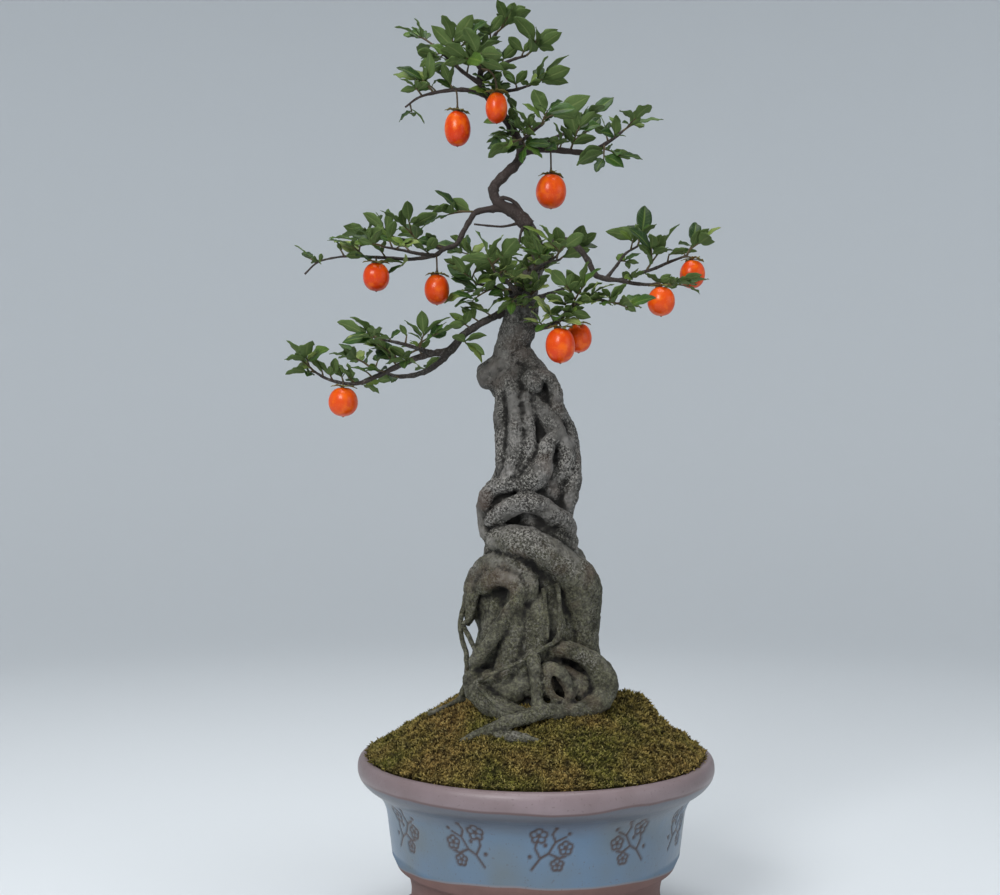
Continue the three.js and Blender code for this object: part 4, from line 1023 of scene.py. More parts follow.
FRUITS = [  # limb, place of the stalk along it, the fruit's centre, radius and half height
    ("apex_left", 0.36, (-66, -12, 674), 10.9, 14.7), ("apex_front", 0.5, (-33, -24, 688), 9.1, 12.7),
    ("upper_right", 0.29, (13, -4, 623), 13, 14.4), ("mid_left", 0.7, (-133, -26, 547), 11.1, 11.7),
    ("mid_left", 0.49, (-83, -16, 538), 10.5, 12.6), ("low_left", 0.82, (-160, -30, 443), 12, 12),
    ("low_right", 0.4, (19, -46, 488), 11.9, 14.3), ("low_right", 0.57, (35.5, -20, 497), 10.8, 12.1),
    ("mid_right", 0.9, (103, -31, 526), 11.2, 12), ("mid_right_back", 0.9, (134, 4, 554), 10.8, 12),
]
print("sprays", len(SPRAYS), "fruits", len(FRUITS))

# %% [markdown]
# ## Shoots and stalks that bend
# A green shoot bends up a little on its way, and a side shoot leaves it at an angle. A stalk leaves its twig
# level and hangs down to its fruit. A bend with a start, a middle handle and an end is enough for both. The
# draws come from a rule of one line, so that the solids and this script draw the same numbers.

# %% Bend the shoots and the stalks
UP = np.array((0, 0, 1.0))
GAP, CALYX_THICKNESS = 0.3, 0.8
SHOOT_RISE = 0.1
SIDE_SHOOT_PLACE, SIDE_SHOOT_LENGTH, SIDE_SHOOT_SHARE = 0.35, 10, 0.32


def drawing(seed):
    """A seeded draw between low and high, the same on every computer"""
    state = seed

    def following():
        nonlocal state
        state = state * 16807 % 2147483647
        return state / 2147483647

    following()
    following()
    return lambda low, high: low + (high - low) * following()


def bent(line, share):
    """A place on a bend that is given by its start, its middle handle and its end"""
    start, middle, end = line
    return (1 - share) ** 2 * start + 2 * (1 - share) * share * middle + share * share * end


def shoot_line(start, end):
    start, end = np.asarray(start, float), np.asarray(end, float)
    return start, (start + end) / 2 + UP * SHOOT_RISE * np.linalg.norm(end - start), end


def shoots_of(limb, share, end, number):
    main = shoot_line(along_points([p[:3] for p in LIMBS[limb]], share), end)
    reach = np.linalg.norm(main[2] - main[0])
    ahead = (main[2] - main[0]) / reach
    across = unit(np.cross(ahead, UP))
    draw = drawing(7001 + 131 * number)
    start = bent(main, SIDE_SHOOT_PLACE)
    heading = ahead * draw(0.4, 0.7)
    heading = heading + across * (-1) ** number * draw(0.75, 0.95)
    heading = unit(heading + UP * draw(0, 0.3))
    length = SIDE_SHOOT_LENGTH + SIDE_SHOOT_SHARE * reach * draw(0.8, 1.2)
    return [main, shoot_line(start, start + heading * length)]


def stalk_line(limb, share, centre, half):
    start = along_points([p[:3] for p in LIMBS[limb]], share)
    end = np.array((centre[0], centre[1], centre[2] + half + GAP + CALYX_THICKNESS / 2))
    return start, np.array((end[0], end[1], max(start[2], end[2] + 2))), end


spray_shoots = [shoots_of(*spray, number) for number, spray in enumerate(SPRAYS)]
stalks = [stalk_line(limb, share, centre, half) for limb, share, centre, _, half in FRUITS]
print("shoots", sum(len(shoots) for shoots in spray_shoots))

# %% [markdown]
# ## One leaf, and what it must not touch
# A blade is known by its base, its heading, the direction that its upper face looks in, and its length. To
# test it, six corners stand for its surface. Lines that go through its triangles, or edges that come too
# near a twig, mean that the leaf would cut something.

# %% Set a blade and test it
LEAF_LENGTH, LEAF_WIDTH = (20, 30), 0.5
LEAF_TURN, TIP_TURN, LEAF_LIFT, LEAF_ROLL = (0.7, 1.25), (-0.35, 0.35), (-0.2, 0.8), (-1.2, 1.2)
LEAF_STATIONS = [(0, 0), (0.32, 0.44), (0.7, 0.46), (1, 0)]  # share of the length, half width there
LEAF_RISE, LEAF_DROOP = 0.2, 0.26
CORNERS = [(0, 0), (-1, 1), (1, 1), (-1, 2), (1, 2), (0, 3)]  # edge and station
TRIANGLES = [(0, 1, 2), (1, 3, 2), (2, 3, 4), (3, 5, 4)]
EDGES = [(0, 1), (1, 3), (3, 5), (5, 4), (4, 2), (2, 0), (1, 2), (3, 4)]
TINY = 1e-9


def heading_along(line, share):
    step = 0.0001
    return unit(bent(line, min(1, share + step)) - bent(line, max(0, share - step)))


def blade_at(line, share, hand, draw, shrink, lengths):
    """Hand is 1 or -1 for a leaf to the right or the left of its shoot, 0 for the one at its tip"""
    along = heading_along(line, share)
    beside = unit(np.cross(along, UP))
    turn = hand * draw(*LEAF_TURN)
    if hand == 0:
        turn = draw(*TIP_TURN)
    heading = unit(along * math.cos(turn) + beside * math.sin(turn) + UP * draw(*LEAF_LIFT))
    level = unit(UP - heading * (UP @ heading))
    roll = draw(*LEAF_ROLL)
    face = level * math.cos(roll) + np.cross(heading, level) * math.sin(roll)
    blade = {"base": bent(line, share), "heading": heading, "face": face, "side": np.cross(face, heading)}
    blade["length"] = draw(*lengths) * shrink
    blade["middle"] = blade["base"] + heading * blade["length"] / 2
    corners = [on_blade(blade, edge, *LEAF_STATIONS[station]) for edge, station in CORNERS]
    blade["corners"] = np.array(corners)
    return blade


def on_blade(blade, edge, share, half_width):
    length = blade["length"]
    lift = length * share * (LEAF_RISE - LEAF_DROOP * share)
    middle = blade["base"] + blade["heading"] * share * length
    return middle + blade["side"] * half_width * LEAF_WIDTH * length * edge + blade["face"] * lift


def pierced(lines, triangles):
    """Whether any of the straight lines goes through any of the triangles"""
    start, line = lines[:, None, 0], lines[:, None, 1] - lines[:, None, 0]
    a, b, c = (triangles[None, :, corner] for corner in range(3))
    slant = np.cross(line, c - a)
    scale = ((b - a) * slant).sum(-1)
    flat = abs(scale) < TINY
    scale = np.where(flat, 1, scale)
    out = start - a
    turn = np.cross(out, np.broadcast_to(b - a, out.shape))
    u, v, t = ((p * q).sum(-1) / scale for p, q in ((out, slant), (line, turn), (c - a, turn)))
    inside = (u >= 0) & (u <= 1) & (v >= 0) & (u + v <= 1) & (t >= 0) & (t <= 1)
    return bool(np.any(~flat & inside))


def gaps_between(edges, lines):
    """The shortest distance from every edge to every straight line"""
    a, u = edges[:, None, 0], edges[:, None, 1] - edges[:, None, 0]
    c, v = lines[None, :, 0], lines[None, :, 1] - lines[None, :, 0]
    w = a - c
    uu, uv, vv, uw, vw = ((p * q).sum(-1) for p, q in ((u, u), (u, v), (v, v), (u, w), (v, w)))
    spread = uu * vv - uv * uv
    skew = spread > TINY
    first = np.where(skew, np.clip((uv * vw - vv * uw) / np.where(skew, spread, 1), 0, 1), 0)
    t = np.clip((uv * first + vw) / vv, 0, 1)
    s = np.clip((uv * t - uw) / uu, 0, 1)
    return np.linalg.norm(w + u * s[..., None] - v * t[..., None], axis=-1)


# %% [markdown]
# ## Keeping leaves apart
# Real leaves push each other aside as they grow. Here a bud draws its leaf again, a little smaller each
# time, until it is clear of limbs, stalks, fruits and the leaves that are set already. A bud that finds no
# place stays bare. Cloth or rigid body dynamics could do this too, but not the same way on every run.

# %% Keep the leaves clear of everything
LEAF_CLEARANCE, FRUIT_CLEARANCE = 0.7, 1.5
LEAF_TRIES, LEAF_SHRINK = 16, 0.025
NEAR = 52  # leaves farther from a bud than this can't meet its leaf
SHOOT_RADIUS, STALK_RADIUS = 1, 0.75
kept_leaves = []


def rods_of(places, radii, owner):
    return [(a, b, max(ra, rb), owner) for a, b, ra, rb in zip(places, places[1:], radii, radii[1:])]


def bend_rods(line, radius, owner=0):
    return rods_of([bent(line, k / 3) for k in range(4)], [radius] * 4, owner)


rods = []  # straight pieces of limbs, stalks and shoots: both ends, the radius, and whose leaves ignore it
for points in LIMBS.values():
    rods += rods_of([np.array(p[:3], float) for p in points], [p[3] for p in points], 0)
for line in stalks:
    rods += bend_rods(line, STALK_RADIUS)
for shoots in spray_shoots:
    for line in shoots:
        rods += bend_rods(line, SHOOT_RADIUS, id(line))
rod_lines = np.array([rod[:2] for rod in rods])
rod_radii, rod_owners = (np.array([rod[k] for rod in rods]) for k in (2, 3))
rod_middles, rod_lengths = rod_lines.mean(1), np.linalg.norm(rod_lines[:, 1] - rod_lines[:, 0], axis=1)


def meets_rods(blade, own):
    away = np.linalg.norm(blade["middle"] - rod_middles, axis=1)
    near = (away <= 0.6 * blade["length"] + rod_radii + rod_lengths / 2) & (rod_owners != own)
    if not near.any():
        return False
    gaps = gaps_between(blade["corners"][EDGES], rod_lines[near])
    too_near = (gaps < rod_radii[near] + LEAF_CLEARANCE).any()
    return bool(too_near) or pierced(rod_lines[near], blade["corners"][TRIANGLES])


def meets_fruits(blade):
    checked = np.vstack([blade["corners"], blade["middle"]])
    for _, _, centre, radius, half in FRUITS:
        if (np.linalg.norm(checked - centre, axis=1) < max(radius, half) + FRUIT_CLEARANCE).any():
            return True
    return False


def meets_blade(blade, other):
    if np.linalg.norm(blade["middle"] - other["middle"]) > 0.55 * (blade["length"] + other["length"]):
        return False
    still = other["corners"]
    for offset in (-LEAF_CLEARANCE, LEAF_CLEARANCE):
        moved = blade["corners"] + blade["face"] * offset
        if pierced(moved[EDGES], still[TRIANGLES]) or pierced(still[EDGES], moved[TRIANGLES]):
            return True
    return False


def set_leaf(line, share, hand, seed, lengths):
    """Tries a bud's leaf until it is clear of everything, and adds it to the leaves that are kept"""
    draw = drawing(seed)
    base = bent(line, share)
    near = [other for other in kept_leaves if math.dist(other["middle"], base) < NEAR]
    for attempt in range(LEAF_TRIES):
        blade = blade_at(line, share, hand, draw, 1 - LEAF_SHRINK * attempt, lengths)
        blocked = meets_rods(blade, id(line)) or meets_fruits(blade)
        if not (blocked or any(meets_blade(blade, other) for other in near)):
            kept_leaves.append(blade)
            return [blade]
    return []


print("rods that leaves keep clear of", len(rods))

# %% Set every large leaf
MAIN_BUDS, SIDE_BUDS = (0.22, 0.42, 0.6, 0.76, 0.92), (0.45, 0.7, 0.9)

spray_leaves = []
for number, shoots in enumerate(spray_shoots):
    leaves, order = [], 0
    for index, (line, shares) in enumerate(zip(shoots, (MAIN_BUDS, SIDE_BUDS))):
        for place, share in enumerate(shares):
            hand = 0 if share == shares[-1] else (-1) ** (place + index)
            leaves += set_leaf(line, share, hand, 1009 + 7919 * number + 104729 * order, LEAF_LENGTH)
            order += 1
    spray_leaves.append(leaves)
print("large leaves", len(kept_leaves))

# %% [markdown]
# ## Smaller leaves between them
# A living spray also carries younger, smaller leaves that fill it out. They are set by the same rule on
# buds in between, are drawn shorter, and keep clear of everything that is there already.

# %% Set the young leaves
YOUNG_LENGTH = (11, 19)
YOUNG_MAIN, YOUNG_SIDE = (0.3, 0.5, 0.84, 0.98), (0.3, 0.8)

for number, shoots in enumerate(spray_shoots):
    for index, (line, shares) in enumerate(zip(shoots, (YOUNG_MAIN, YOUNG_SIDE))):
        for order, share in enumerate(shares):
            seed = 50021 + 7907 * number + 104723 * order + 611953 * index
            hand = (-1) ** (order + index + 1)
            spray_leaves[number] += set_leaf(line, share, hand, seed, YOUNG_LENGTH)
print("with young leaves", len(kept_leaves))

# %% [markdown]
# ## Spurs along the limbs
# Old limbs also carry short spurs, each with a rosette of small leaves, and these close the pads between the
# sprays. They stand at seeded places along a stretch of each limb and lean a little forwards and up, and
# they crowd round the stem where the trunk ends. A spur that would run through a leaf is left out.

# %% Set the spurs
SPURS = [  # limb, from and to which share of it, how many, how far back they may lean, and the leaves' size
    ("apex_left", 0.2, 1, 5, 0.5, 1), ("apex_up_left", 0.2, 1, 5, 0.5, 1),
    ("apex_right", 0.25, 1, 4, 0.5, 1), ("apex_up_right", 0.25, 1, 2, 0.5, 1),
    ("apex_back", 0.3, 1, 3, 0.5, 1), ("apex_front", 0.2, 1, 6, 0.2, 1.2), ("stem", 0.8, 0.97, 5, 0, 1.1),
    ("stem", 0.66, 0.8, 15, -0.7, 1.25), ("upper_right", 0.05, 0.5, 6, -0.2, 1.2),
    ("upper_right", 0.7, 1, 3, 0.7, 1), ("upper_right_front", 0.1, 1, 9, -0.2, 1.2),
    ("mid_left", 0.42, 0.75, 5, 0, 1.2), ("mid_left", 0.78, 1, 3, 0.7, 0.9),
    ("mid_left_back", 0.3, 1, 5, 0.3, 1.4), ("mid_left_front", 0.3, 1, 3, 0.4, 1),
    ("low_left", 0.1, 0.3, 5, -0.2, 1.2), ("low_left", 0.4, 1, 12, 0.3, 1.1),
    ("low_left_back", 0.3, 1, 3, 0.7, 1), ("low_left_front", 0.3, 1, 3, 0.7, 1),
    ("mid_right", 0.65, 1, 2, 0.7, 1), ("mid_right_up", 0.4, 1, 2, 0.7, 1),
    ("mid_right_back", 0.5, 1, 2, 0.7, 1), ("low_right", 0.25, 1, 10, -0.5, 1.1),
    ("centre_front", 0.15, 1, 8, 0, 1), ("centre_right", 0.15, 1, 6, 0.2, 1),
    ("centre_left", 0.25, 1, 6, 0, 1), ("centre_back_left", 0.3, 1, 3, 0.7, 1),
    ("centre_back_right", 0.3, 1, 3, 0.7, 1), ("stem", 0.1, 0.26, 40, -0.6, 0.9),
    ("low_right", 0.2, 0.9, 9, -0.9, 1.3),
]
SPUR_REACH, SPUR_LEAF = (5, 10), (11, 20)
SPUR_ROOT = 0.75  # of the limb's radius
SPUR_BUDS = ((0.6, 1), (0.78, -1), (0.9, 1), (1.0, 0))  # share of the spur, and the hand of the leaf


def spur_at(limb, share, lean, draw):
    *foot, radius = along_points(LIMBS[limb], share)
    after, before = (along_points(LIMBS[limb], min(1, share + step))[:3] for step in (0.01, -0.01))
    ahead = unit(after - before)
    aside = np.array((draw(-1, 1), draw(-1.2, lean), draw(-0.3, 1)))
    heading = unit(unit(aside - ahead * (aside @ ahead)) + ahead * draw(0.1, 0.7))
    return shoot_line(foot + heading * radius * SPUR_ROOT, foot + heading * (radius + draw(*SPUR_REACH)))


def meets_leaf(line):
    rod = np.array([(line[0], line[2])])
    near = (leaf["corners"][TRIANGLES] for leaf in kept_leaves if math.dist(leaf["middle"], line[2]) < 30)
    return any(pierced(rod, triangles) for triangles in near)


spurs = {}
for number, (limb, first, last, count, lean, size) in enumerate(SPURS):
    lengths = [size * length for length in SPUR_LEAF]
    for order in range(count):
        draw = drawing(300007 + 7817 * number + 104707 * order)
        line = spur_at(limb, first + (last - first) * (order + draw(0.1, 0.9)) / count, lean, draw)
        if meets_leaf(line):
            continue
        leaves = []
        for place, (share, hand) in enumerate(SPUR_BUDS):
            seed = 700001 + 7793 * number + 104701 * order + 15485863 * place
            leaves += set_leaf(line, share, hand * (-1) ** order, seed, lengths)
        spurs.setdefault(limb, []).append((line, leaves))
print("spurs", sum(len(group) for group in spurs.values()), "leaves in all", len(kept_leaves))

# %% [markdown]
# ## The shape of a leaf
# The leaf is an ellipse drawn out to a short point, folded a little along its midrib and rippled at the
# margin, on a short stalk. A flat card would do from far away, but light runs along the fold and the
# ripple. Upper and lower skins a third of a millimetre apart make it a solid that a slicer can read.

# %% Shape a leaf
LEAF_GRID, SPUR_GRID = (11, 6), (8, 4)  # rows along the leaf and columns across it
LEAF_SKIN = 0.34
PETIOLE_SHARE, PETIOLE_WIDTH = 0.09, 0.45
LEAF_BASE_POWER, LEAF_TIP_POWER = 0.72, 0.86
LEAF_FULLNESS = 0.245  # half the width at its widest, of the length
FOLD, RIPPLE, RIPPLES = 0.24, 0.035, 2.5


def leaf_outline(share, length, fullness, draw):
    """Half the leaf's width at each share of its length"""
    wide = np.clip((share - PETIOLE_SHARE) / (1 - PETIOLE_SHARE), 0, 1)
    curve = wide ** LEAF_BASE_POWER * (1 - wide) ** (LEAF_TIP_POWER * draw(0.85, 1.2))
    curve = curve / curve.max() * fullness * draw(0.82, 1.08) * length
    return np.maximum(curve, PETIOLE_WIDTH * np.where(share < 0.9, 1, 0.35))[:, None]


def leaf_faces(rows, columns):
    """The faces of both skins and of the narrow rim that joins them"""
    row_length, count = columns + 1, (rows + 1) * (columns + 1)
    faces = []
    for row in range(rows):
        for column in range(columns):
            a, b = row * row_length + column, row * row_length + column + 1
            c, d = b + row_length, a + row_length
            faces += [[a, d, c, b], [count + a, count + b, count + c, count + d]]
    rim = [row * row_length for row in range(rows + 1)]
    rim += [rows * row_length + column for column in range(1, row_length)]
    rim += [row * row_length + columns for row in range(rows - 1, -1, -1)]
    rim += list(range(columns - 1, 0, -1))
    return faces + [[i, count + i, count + j, j] for i, j in zip(rim, rim[1:] + rim[:1])]


def leaf_part(blade, draw, fullness=LEAF_FULLNESS, grid=LEAF_GRID):
    """A leaf's two skins, with marks for its veins and its own shade"""
    rows, columns = grid
    share = np.linspace(0, 1, rows + 1) ** 0.9
    edge = np.linspace(-1, 1, columns + 1)
    length = blade["length"]
    half = leaf_outline(share, length, fullness, draw)
    fold, wave, start = FOLD * draw(0.3, 1.3), RIPPLE * draw(0.4, 1.3) * length, draw(0, 6)
    ripple = np.sin(2 * math.pi * RIPPLES * share[:, None] + start + 2 * edge)
    ripple = wave * ripple * edge ** 2 * (half > 1)
    lift = length * share * (LEAF_RISE - LEAF_DROOP * share)
    raised = lift[:, None] + fold * half * np.abs(edge) + ripple
    middle = blade["base"] + blade["heading"] * (share * length)[:, None]
    upper = middle[:, None] + blade["side"] * (edge * half)[..., None] + blade["face"] * raised[..., None]
    lower = upper - blade["face"] * LEAF_SKIN
    places = np.concatenate([upper.reshape(-1, 3), lower.reshape(-1, 3)])
    across = np.tile(np.tile(np.abs(edge), rows + 1), 2)
    along = np.tile(np.repeat(share, columns + 1), 2)
    marks = {"across": across, "along": along, "under": np.repeat((0.0, 1.0), len(places) // 2)}
    return part(places, leaf_faces(rows, columns), **marks, tone=draw(0, 1), leafy=1)


def woody_part(line, radii, sides):
    """A shoot or stalk along a bend, with the marks of a leaf that isn't green"""
    places = [bent(line, step / (len(radii) - 1)) for step in range(len(radii))]
    return strand(places, radii, sides, across=1, along=0, under=0, tone=0.5, leafy=0)


# %% [markdown]
# ## Leaf green
# The upper face is a glossy dark green, a little different on every leaf, with a pale midrib and side veins
# that curve towards the tip. Young leaves and the undersides are greyer and lighter. One place in the middle
# of the crown has the youngest growth, and a second, in front of the stem, is lighter too: partly young
# growth, partly painted light on leaves that the crown above shades. The veins come from the marks that run
# across and along each leaf, so they always follow its shape.

# %% Mix the leaf finish
YOUNG_GROWTH_AND_PAINTED_LIGHT = [  # place and reach in metres, and strength
    # the second is partly young growth and partly painted light on the leaves in front of the stem, which
    # the crown above shades
    (0.054, -0.045, 0.521, 0.045, 0.45), (-0.012, -0.045, 0.53, 0.065, 0.55),
]
SIDE_VEINS, VEIN_SLANT = 8.5, 1.3

leaf = Finish("glossy leaf", Specular_IOR_Level=0.22, Coat_Weight=0.04, Coat_Roughness=0.3)
across, along, under = leaf.mark("across"), leaf.mark("along"), leaf.mark("under")
leaf_age_and_light = leaf.plus(leaf.times(leaf.mark("tone"), 0.8), leaf.times(leaf.patches(60, 1, 0.35, 0.65), 0.2))
# lighter leaves at these places: young growth, and at the second partly painted light
for *centre, reach, strength in YOUNG_GROWTH_AND_PAINTED_LIGHT:
    away = leaf.node("VectorMath", {0: leaf.place, 1: centre}, operation="DISTANCE").outputs["Value"]
    leaf_age_and_light = leaf.plus(leaf_age_and_light, leaf.times(leaf.between(away, reach, 0.02), strength))
greens = [(0.0, (28, 48, 22)), (0.3, (38, 64, 22)), (0.55, (60, 93, 32)), (0.8, (106, 128, 48))]
greens.append((1.0, (152, 164, 96)))
fresh = leaf.ramp(leaf_age_and_light, *greens)
slant = leaf.sum("SUBTRACT", leaf.times(along, SIDE_VEINS), leaf.times(across, VEIN_SLANT))
side_vein = leaf.between(leaf.sum("PINGPONG", slant, 0.5), 0.09, 0.02)
vein = leaf.sum("MAXIMUM", leaf.between(across, 0.16, 0.04), leaf.times(side_vein, 0.35))
half_vein = leaf.times(vein, 0.5)
clouds = leaf.times(leaf.grain(7, 3), 0.5)
upper_side = leaf.coats(fresh, (clouds, (30, 50, 26)), (half_vein, (108, 130, 56)))
lower_side = leaf.blend(half_vein, (84, 104, 56), (120, 134, 80))
green_twig = leaf.blend(leaf.grain(3, 2), (74, 62, 44), (96, 84, 56))
leaf_shade = leaf.blend(leaf.mark("leafy"), green_twig, leaf.blend(under, upper_side, lower_side))
leaf_skin = leaf.finished(leaf_shade, leaf.between(under, -1.1, 1.4), leaf.times(vein, -1), 0.25)

# %% [markdown]
# ## Sprays and spurs as pieces
# A spray is picked as one: its shoots and its leaves are one piece, with a solid of its own behind it. The
# spurs of a limb are one piece too, but they have no solid, because they are too many and too small.

# %% Make the sprays
SPRAY_RADII = [np.linspace(thick, 0.5, 10) for thick in (1.05, 0.8)]  # of its main and its side shoot
SPUR_RADII = np.linspace(0.9, 0.5, 4)
SHOOT_SIDES = 7

for number, (shoots, leaves) in enumerate(zip(spray_shoots, spray_leaves)):
    draw = drawing(90001 + 613 * number)
    parts = [woody_part(line, radii, SHOOT_SIDES) for line, radii in zip(shoots, SPRAY_RADII)]
    parts += [leaf_part(blade, draw) for blade in leaves]
    make_piece(f"leafy_spray_{number + 1}", together(parts), leaf_skin, [f"spray_{number + 1}"])
for number, (limb, group) in enumerate(spurs.items()):
    draw = drawing(95003 + 619 * number)
    parts = [woody_part(line, SPUR_RADII, SHOOT_SIDES) for line, _ in group]
    parts += [leaf_part(blade, draw, grid=SPUR_GRID) for _, leaves in group for blade in leaves]
    make_piece(f"spur_leaves_of_{limb}", together(parts), leaf_skin)


# %% [markdown]
# ## Fruits
# A ripe fruit is a glossy orange egg, faintly four-sided, with a dimple under its calyx and a small dark
# point at the bottom where the flower was. It is turned like the pot, from the profile that the solid has,
# and then pressed very slightly out of round, each fruit in its own way.

# %% Make the fruits
FRUIT_SIDES, FRUIT_ROWS, FRUIT_POWER = 56, 34, 0.85
DIMPLE, DIMPLE_REACH = 0.05, 0.22
SQUARENESS, UNEVENNESS, UNEVEN_SIZE = 0.014, 0.03, 14
TIP_RADIUS, TIP_LENGTH = 0.9, 1.0


def fruit_part(centre, radius, half, number):
    angles = np.linspace(0, math.pi, FRUIT_ROWS + 1)
    out = np.array([radius * math.sin(a) ** FRUIT_POWER if 0 < a < math.pi else 0 for a in angles])
    up = np.array([-half * math.cos(a) for a in angles])
    up = up - DIMPLE * half * np.exp(-(out / (DIMPLE_REACH * radius)) ** 2) * (up > 0)
    up = up - TIP_LENGTH * np.exp(-(out / TIP_RADIUS) ** 2) * (up < 0)
    places, faces, _ = turned(np.stack([out, up], 1), FRUIT_SIDES)
    turn = np.arctan2(places[:, 1], places[:, 0])
    uneven = np.array([noise.noise(Vector(p) / UNEVEN_SIZE + Vector((number, 0, 0))) for p in places])
    places[:, :2] *= (1 + SQUARENESS * np.cos(4 * turn + number) + UNEVENNESS * uneven)[:, None]
    edge = np.hypot(places[:, 0], places[:, 1]) / radius
    return part(places + centre, faces, along=places[:, 2] / half, edge=edge, tone=(number * 0.37) % 1)


fruit = Finish("ripe persimmon skin", Coat_Weight=0.2, Coat_Roughness=0.1, Specular_IOR_Level=0.2)
rise = fruit.between(fruit.mark("along"), -1, 1)
oranges = [(0.0, (180, 42, 3)), (0.35, (207, 62, 3)), (0.75, (214, 73, 4)), (1.0, (190, 68, 16))]
ripe = fruit.ramp(rise, *oranges)
tip = fruit.times(fruit.between(fruit.mark("edge"), 0.12, 0.06), fruit.between(rise, 0.5, 0.4))
fruit_shade = fruit.coats(
    ripe,
    (fruit.patches(11, 2, 0.35, 0.7), (202, 52, 8)),
    (fruit.times(fruit.mark("tone"), 0.35), (226, 94, 16)),
    (fruit.times(fruit.patches(8, 2, 0.5, 0.66), 0.5), (240, 114, 10)),
    (fruit.times(fruit.patches(0.9, 1, 0.66, 0.74), 0.25), (240, 150, 70)),
    (tip, (52, 34, 24)),
)
fruit_skin = fruit.finished(fruit_shade, 0.32, fruit.grain(5, 2), 0.25)
for number, (_, _, centre, radius, half) in enumerate(FRUITS):
    made = fruit_part(centre, radius, half, number)
    make_piece(f"persimmon_{number + 1}", made, fruit_skin, [f"fruit_{number + 1}"])


# %% [markdown]
# ## Calyxes
# Four narrow lobes lie over the shoulders of each fruit, and from their middle the thin stalk goes up to its
# twig. A lobe is a small arched leaf, so the leaf's own shape is used again.

# %% Make the calyxes
CALYX_REACH, CALYX_TURN, LOBES = 11.5, 0.3, 4
LOBE_FULLNESS = 0.3
STALK_SIDES, STALK_STEPS = 9, 12
STALK_FLARE, FLARE_START, FLARE_LENGTH = 1.6, 0.9, 0.1


def lobe(foot, turn, draw):
    heading = np.array((math.cos(turn), math.sin(turn), draw(-0.2, 0.05)))
    blade = {"base": foot, "heading": unit(heading), "length": CALYX_REACH * draw(0.9, 1.05)}
    blade["face"] = unit(UP - blade["heading"] * (UP @ blade["heading"]))
    blade["side"] = np.cross(blade["face"], blade["heading"])
    return leaf_part(blade, draw, LOBE_FULLNESS)


def calyx_part(line, number):
    draw = drawing(4001 + 97 * number)
    turns = [CALYX_TURN + k * 2 * math.pi / LOBES for k in range(LOBES)]
    lobes = [lobe(line[2] + UP * 0.2, turn + draw(-0.12, 0.12), draw) for turn in turns]
    shares = np.linspace(0, 1, STALK_STEPS + 1)
    flare = STALK_FLARE * np.clip((shares - FLARE_START) / FLARE_LENGTH, 0, 1)
    return together([woody_part(line, STALK_RADIUS * (1 + flare), STALK_SIDES), *lobes])


calyx = Finish("dry calyx", Specular_IOR_Level=0.3)
fibre = calyx.grain(1.6, 3)
lobe_shade = calyx.blend(fibre, (78, 84, 38), (132, 122, 62))
stem_shade = calyx.blend(fibre, (60, 48, 36), (86, 70, 50))
calyx_skin = calyx.finished(calyx.blend(calyx.mark("leafy"), stem_shade, lobe_shade), 0.65, fibre, 0.2)
for number, line in enumerate(stalks):
    made = calyx_part(line, number)
    make_piece(f"calyx_lobes_{number + 1}", made, calyx_skin, [f"calyx_{number + 1}"])


# %% [markdown]
# ## The moss bed
# Moss covers the mound from the roots to the rim. Its bed is the solid's own profile, turned with many more
# points and pushed about by noise so that it lies in cushions. On its own it would look like felt, so small
# shoots are planted on it next.

# %% Lay the moss bed
MOUND = np.array([(42, 203), (64, 193), (90, 178), (112, 165), (129, 155), (138, 149)])
MOUND_START, MOUND_END = MOUND[0, 0], MOUND[-1, 0]
MOSS_THICKNESS, SOIL_LEVEL = 6, 164
BED_SIDES, BED_ROWS = 300, 60
CUSHIONS = [(24, 3.0), (9, 2.6), (4, 1.1)]  # size and height
SWELLS = [(88, 4, 17, 19), (-5, -68, -7, 34), (128, 10, 3, 14)]  # place, height and reach
EDGE_BAND = 10  # the cushions flatten out so far from the rim


def mound_height(radius):
    return np.interp(radius, MOUND[:, 0], MOUND[:, 1])


def cushion_rise(places, radius):
    rise = relief([Vector((x, y, 0)) for x, y in places[:, :2]], CUSHIONS)
    for x, y, height, reach in SWELLS:
        rise += height * np.exp(-((places[:, 0] - x) ** 2 + (places[:, 1] - y) ** 2) / reach ** 2)
    return rise * np.clip((MOUND_END - radius) / EDGE_BAND, 0, 1)


bed_radii = np.linspace(MOUND_START, MOUND_END, BED_ROWS + 1)
upper_rows = [(r, mound_height(r)) for r in bed_radii[::-1]]
under_rows = [(r, min(mound_height(r) - MOSS_THICKNESS, SOIL_LEVEL)) for r in MOUND[:, 0]]
bed_places, bed_faces, _ = turned([*under_rows, *upper_rows, under_rows[0]], BED_SIDES)
bed_radius = np.hypot(bed_places[:, 0], bed_places[:, 1])
on_top = bed_places[:, 2] > mound_height(bed_radius) - 0.5
bed_places[:, 2] += cushion_rise(bed_places, bed_radius) * on_top
bed_made = part(bed_places, bed_faces, tip=0, tone=0.5)
print("moss bed from", bed_places[:, 2].min().round(1), "to", bed_places[:, 2].max().round(1), "mm high")

# %% [markdown]
# ## Moss shoots
# Each shoot is a tiny pointed leaf of six triangles, two to five millimetres long, that leans its own way.
# Hair particles would be quicker to place, but a mesh can be kept and printed. Shoots that would start
# inside the wood are left out, and a fringe of others hangs over the inner edge of the rim.

